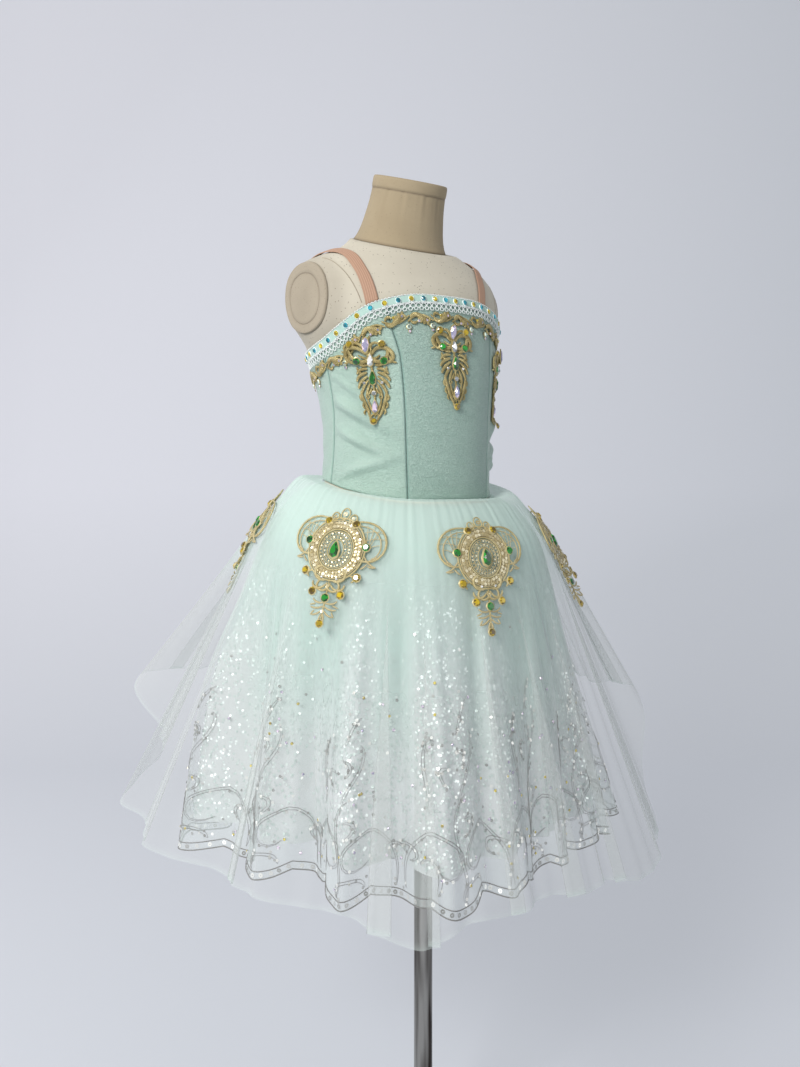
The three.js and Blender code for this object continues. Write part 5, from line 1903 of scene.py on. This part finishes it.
@dataclass
class Skirt:
    """The sequinned layer, the embroidered net and the sheer overlay."""

    doublings: tuple[Doubling, ...] = doubled(
        (-150, 2.0, 4.0, 0.6), (-127, 1.6, 4.0, 0.5), (-104, 1.4, 4.0, 0.5),
        (-78, 1.8, 3.0, 0.6), (-41.5, 3.2), (-30, 1.8), (-10.5, 2.4), (7, 3.0), (24, 2.0),
        (47, 3.0), (72, 2.6), (93, 3.2), (124, 2.8), (151, 3.0), (170, 2.2),
    )

    def build(self) -> None:
        """Builds the layers from the inside out."""
        self.sequin_layer()
        self.embroidered_net()
        self.overlay()

    def sequin_layer(self) -> None:
        """Mint cloth in hanging folds, with its sequins lying on it."""
        turn = np.linspace(-180, 180, 520, endpoint=False)[None]
        share = np.linspace(0, 1, 64)[:, None]
        top = TOP_RING + 2 * NET_START
        fall = mix(top, waist_line(turn) - SEQUIN_HEM, share**1.35)
        points = SEQUINS.cloth(turn + 0 * fall, fall, -WALL)
        crest = self.crest(turn) * ease((fall - 40) / 90)
        # Painted highlight: the cloth turns paler and thinner on the folds' crests; it also pales
        # toward the hem.
        pale = np.maximum(ease((fall - 130) / 170), 0.97 * crest)
        dense = mix(0.93, 0.8, pale) + 0 * points[..., 0]
        cloth = Cloth()
        cloth.grid(points, closed=True, flip=True, tone=dense, stretch=(1.3, 0.38))
        piece = cloth.mesh("skirt_sequin_layer_cloth", "mint_cloth")
        sequins = self.sequins()
        finish_piece(piece, "sequin_cloth", "skirt_sequin_layer")

    @staticmethod
    def crest(angle: Array) -> Array:
        """How near a place is to the crest of a fold: 0 in a valley and 1 on a crest."""
        return ease((NET_FOLDS.value("reach", wrap(angle)) - 176) / 46)

    def sequins(self) -> Piece:
        """Thousands of small tilted discs in loose upright lines, thinner towards the waist."""
        rng = draw(2)
        pitch = 3.5
        angles, falls = [], []
        for row in range(100):
            fall = 56 + row * pitch
            girth = 2 * np.pi * (MEAN_REACH * 0.52 + fall * 0.26)
            count = int(girth / pitch)
            turn = (np.arange(count) + 0.5 * (row % 2)) * 360 / count - 180
            angles.append(turn + rng.normal(0, 0.5, count))
            falls.append(np.full(count, fall) + rng.normal(0, 1.3, count))
        angle, fall = join(angles), join(falls)
        whole = waist_line(angle) - SEQUIN_HEM
        share = ease((fall - 40) / 55) * (0.4 + 0.55 * self.crest(angle))
        keep = (fall < whole - 4) & (rng.random(len(angle)) < share)
        angle, fall = angle[keep], fall[keep]

        places = axes_on(SEQUINS.cloth, angle, fall, 0.35)
        cloth = Cloth()
        radius = rng.uniform(1.2, 1.6, len(angle))
        # Painted glints: the sequins on the folds' crests keep more of their glint.
        shine = 0.62 + 0.38 * self.crest(angle) ** 2 * ease((fall - 70) / 40)
        lay_discs(cloth, places, radius, rng, 0, 6, 0.0, 0.28, 0, shine)
        piece = cloth.mesh("skirt_sequins", "mint_sequin", flat=True)
        return finish_piece(piece, "sequin_cloth")

    @staticmethod
    def net_lay(side: Array, down: Array, out: Array) -> Array:
        """The net, by millimetres round a 200 mm circle and millimetres up from its hem."""
        angle = arc_angle(side, NET_CIRCLE)
        return NET.cloth(angle, net_fall(angle) - down, out)

    def embroidered_net(self) -> None:
        """Fine net with a scalloped hem, grey vines, sequins and small stones."""
        turn = np.linspace(-180, 180, 576, endpoint=False)[None]
        share = np.linspace(0, 1, 76)[:, None]
        fall = mix(TOP_RING + NET_START, net_fall(turn), share**1.3)
        points = NET.cloth(turn + 0 * fall, fall, -WALL)
        low = ease((fall - 60) / 190)
        dense = mix(0.55, 0.2, low) + 0.1 * ease((fall - 290) / 60) + 0 * points[..., 0]
        cloth = Cloth()
        cloth.grid(points, closed=True, flip=True, tone=dense, stretch=(1.35, 0.4))
        piece = cloth.mesh("skirt_embroidered_net_tulle", "net_tulle")
        work = self.embroidery()
        finish_piece(piece, "embroidered_net", "skirt_embroidered_net")

    def embroidery(self) -> Piece:
        """Double hem cords, a repeat of C-scrolls and vines, ring sequins and tiny stones."""
        cloth = Cloth()
        rng = draw(3)
        girth = 2 * np.pi * NET_CIRCLE
        side = np.linspace(-girth / 2, girth / 2, 960, endpoint=False)[None]
        for up, half in ((1.0, 0.62), (8.6, 0.5)):
            path, _, _, normal = axes_on(self.net_lay, side, 0 * side + up, 0.3)
            sweep(cloth, path, normal, half, half * 0.8, 5, 0, True)
        repeat = girth / NET_REPEATS
        unit_rows = strokes(
            (-22, 12, 98, 132, -0.3, -4.6, 0.4), (76, 12, 82, 128, 0.3, 4.6, 0.4),
            (-20, 44, 128, 40, 2.2, 10, 0.4), (74, 50, 52, 38, -2.2, -10, 0.4),
            (2, 14, 84, 40, -2.0, 10, 0.4), (26, 12, 70, 96, 1.8, -2.6, 0.4),
            (24, 88, 96, 70, -2.4, 3.0, 0.35), (-4, 84, 76, 70, 1.8, -3.0, 0.35),
            (30, 66, 20, 28, 3, 12, 0.35), (14, 110, 150, 26, -3, -12, 0.35),
            (30, 126, 50, 22, 3, 12, 0.35), (-2, 132, 130, 22, -3, -12, 0.35),
            (48, 12, 100, 44, 2.4, 8, 0.4), (26, 156, 60, 30, 2.0, -4.0, 0.35),
        )
        side, up, half, _ = scroll_paths(unit_rows, 24, False)
        lean = np.arctan2(np.gradient(up, axis=1), np.gradient(side, axis=1))
        open_out = 1.3 * np.sin(np.pi * np.linspace(0, 1, 24)) ** 0.5
        side = join([side - open_out * np.sin(lean), side + open_out * np.sin(lean)])
        up = join([up + open_out * np.cos(lean), up - open_out * np.cos(lean)])
        half = join([half, half])
        middles = (np.arange(NET_REPEATS) - NET_REPEATS / 2) * repeat
        middles = middles + rng.normal(0, 2.0, NET_REPEATS)
        tall = rng.uniform(0.86, 1.06, NET_REPEATS)
        sides = (side[None] + middles[:, None, None]).reshape(-1, side.shape[1])
        ups = (12 + (up[None] - 12) * tall[:, None, None]).reshape(-1, side.shape[1])
        halves = 0.72 * np.tile(half, (NET_REPEATS, 1))
        path, _, _, normal = axes_on(self.net_lay, sides, ups, 0.3)
        sweep(cloth, path, normal, halves, halves * 0.8, 4, 0)
        self.net_sparkle(cloth, rng, sides, ups)
        piece = cloth.mesh(
            "skirt_net_embroidery", "grey_cord", "silver_sequin", "citrine_glass", "rainbow_glass",
        )
        smooth_only(piece, (0,))
        return finish_piece(piece, "embroidered_net")

    def net_sparkle(
        self, cloth: Cloth, rng: np.random.Generator, sides: Array, ups: Array,
    ) -> None:
        """Ring sequins along the hem and beside the vines, and tiny stones among them."""
        girth = 2 * np.pi * NET_CIRCLE
        hem = np.arange(-girth / 2, girth / 2, 6.4)
        spots = rng.random(sides.shape) < 0.17
        near_side = sides[spots] + rng.normal(0, 1.6, spots.sum())
        near_up = ups[spots] + rng.normal(0, 1.6, spots.sum())
        loose_side = rng.uniform(-girth / 2, girth / 2, 420)
        loose_up = 18 + 230 * rng.random(420) ** 1.4
        side = join([hem, near_side, loose_side])
        up = join([np.full(len(hem), 5.0), near_up, loose_up])
        size = join([np.full(len(hem), 2.3), np.full(len(side) - len(hem), 1.5)])
        good = up > 3
        side, up, size = side[good], up[good], size[good]
        places = axes_on(self.net_lay, side, up, 0.9)
        lay_discs(cloth, places, size, rng, 1, 7, 0.3, 0.12)
        stones = []
        for _ in range(230):
            place = rng.uniform(-girth / 2, girth / 2)
            height = 16 + 190 * rng.random() ** 1.5
            stones.append(Stone(place, height, 1.5, 1.5, 2 + int(rng.random() < 0.5)))
        lay_stones(cloth, self.net_lay, stones, 0.7, 1, rng)

    def overlay_columns(self, number: int) -> Array:
        """Angles round the overlay, closer together where the cloth doubles."""
        fine = np.linspace(-180, 180, 7201)
        weight = np.ones_like(fine)
        for row in self.doublings:
            weight += 5 * (np.abs(fine - row.at) < row.spread * 0.75)
        run = join([[0], np.cumsum((weight[1:] + weight[:-1]) / 2)])
        return np.interp(np.arange(number) / number * run[-1], run, fine)

    def overlay(self) -> None:
        """The sheer overlay, puffed at the waist, with places where it doubles over itself."""
        turn = self.overlay_columns(840)[None]
        share = np.linspace(0, 1, 80)[:, None]
        whole = OVERLAY_FOLDS.value("fall", turn)
        fall = mix(OVERLAY_RING, whole, share**1.45)
        angle = turn + 0 * fall
        out = np.full(angle.shape, -WALL)
        crease = np.zeros_like(angle)
        for row in self.doublings:
            s = (turn - row.at) / row.spread
            inside = np.abs(s) < 0.5
            open_out = ease(fall / whole * 1.1) ** 1.2
            swing = np.where(inside, np.sin(2 * np.pi * s), 0) * open_out
            angle = angle - row.width * swing
            out = out + row.depth * (1.15 - swing) * inside * np.cos(np.pi * s) ** 2 * open_out
            crease = np.maximum(crease, inside * open_out)
        points = OVERLAY.point(angle, fall, out + gathers(angle, fall) * (1 - crease))
        low = ease((fall - 10) / 130)
        dense = mix(0.5, 0.165, low) + 0 * angle
        rim = np.exp(-(((whole - fall) / 1.6) ** 2))
        dense = np.clip(dense + 0.12 * rim + 0.02 * crease, 0, 0.9)
        cloth = Cloth()
        cloth.grid(points, closed=True, flip=True, tone=dense, stretch=(1.5, 0.42))
        piece = cloth.mesh("skirt_overlay_tulle", "overlay_tulle")
        finish_piece(piece, "overlay_tulle", "skirt_overlay")


# ---- studio


@dataclass
class Studio:
    """The camera at the photograph's place, a pale sweep of backdrop and soft lights."""

    eye: tuple[float, float, float] = (-676.2, -896.4, 755.0)
    focal: float = 1035.0
    long_side: float = 1067.0
    shift: tuple[float, float] = (-4.5, -61.5)

    def build(self) -> None:
        """Sets up everything that is not part of the object."""
        self.camera()
        self.sweep_wall()
        self.lights()
        scene = bpy.context.scene
        scene.view_settings.view_transform = "Standard"
        scene.cycles.transparent_max_bounces = 28
        scene.cycles.max_bounces = 6

    def camera(self) -> None:
        """A level camera whose shift frames the photograph."""
        data = bpy.data.cameras.new("camera")
        data.sensor_width = 36.0
        data.lens = self.focal / self.long_side * 36.0
        data.shift_x = self.shift[0] / self.long_side
        data.shift_y = self.shift[1] / self.long_side
        data.dof.use_dof = False
        data.clip_end = 60.0
        camera = bpy.data.objects.new("camera", data)
        camera.location = [v * MM for v in self.eye]
        camera.rotation_euler = (np.pi / 2, 0.0, float(rad(HEADING)))
        bpy.context.scene.collection.objects.link(camera)
        bpy.context.scene.camera = camera

    def sweep_wall(self) -> None:
        """A floor that curves up into a wall behind the object: a quarter circle between them."""
        turn = np.linspace(0, np.pi / 2, 24)
        bend, far = 700.0, 1500.0
        run = [-6000.0, *(far + bend * np.sin(turn)), far + bend]
        rise = [0.0, *(bend * (1 - np.cos(turn))), 5200.0]
        across = np.linspace(-6500, 6500, 9)[None]
        run, rise = np.array(run)[:, None], np.array(rise)[:, None]
        aim = -rad(HEADING)
        x = across * np.cos(aim) + run * np.sin(aim)
        y = -across * np.sin(aim) + run * np.cos(aim)
        z = np.broadcast_to(rise - 0.2, x.shape)
        cloth = Cloth()
        cloth.grid(stacked(x, y, z))
        cloth.mesh("backdrop", "backdrop_paper")

    def lights(self) -> None:
        """A large main light from the upper left, a weak fill and an even sky."""
        for name, place, aim, size, power, color in (
            ("key", (-1950, -900, 1800), (0, 0, 760), 900, 48, (1.0, 0.985, 0.96)),
            ("fill", (1500, -1900, 1200), (0, 0, 700), 1400, 4, (0.94, 0.97, 1.0)),
            ("rim", (-900, 1300, 1900), (0, 0, 700), 900, 9, (1.0, 1.0, 1.0)),
        ):
            data = bpy.data.lights.new(name, "AREA")
            data.shape, data.size, data.energy, data.color = "DISK", size * MM, power, color
            light = bpy.data.objects.new(name, data)
            place, aim = np.array(place) * MM, np.array(aim) * MM
            light.location = place
            bpy.context.scene.collection.objects.link(light)
            light.rotation_euler = Vector(aim - place).to_track_quat("-Z", "Y").to_euler()
        world = bpy.data.worlds.new("sky")
        world.use_nodes = True
        background = world.node_tree.nodes["Background"]
        background.inputs["Color"].default_value = (0.97, 0.98, 1.0, 1.0)
        background.inputs["Strength"].default_value = 0.43
        bpy.context.scene.world = world


def main() -> None:
    """Builds the studio and each sub-assembly in order, and reports each piece."""
    logging.basicConfig(level=logging.INFO, format="%(message)s")
    Studio().build()
    for assembly in (Stand(), DressForm(), Bodice(), Appliques(), Skirt()):
        assembly.build()
        LOG.info("%s built", type(assembly).__name__)


if __name__ == "__main__":
    main()
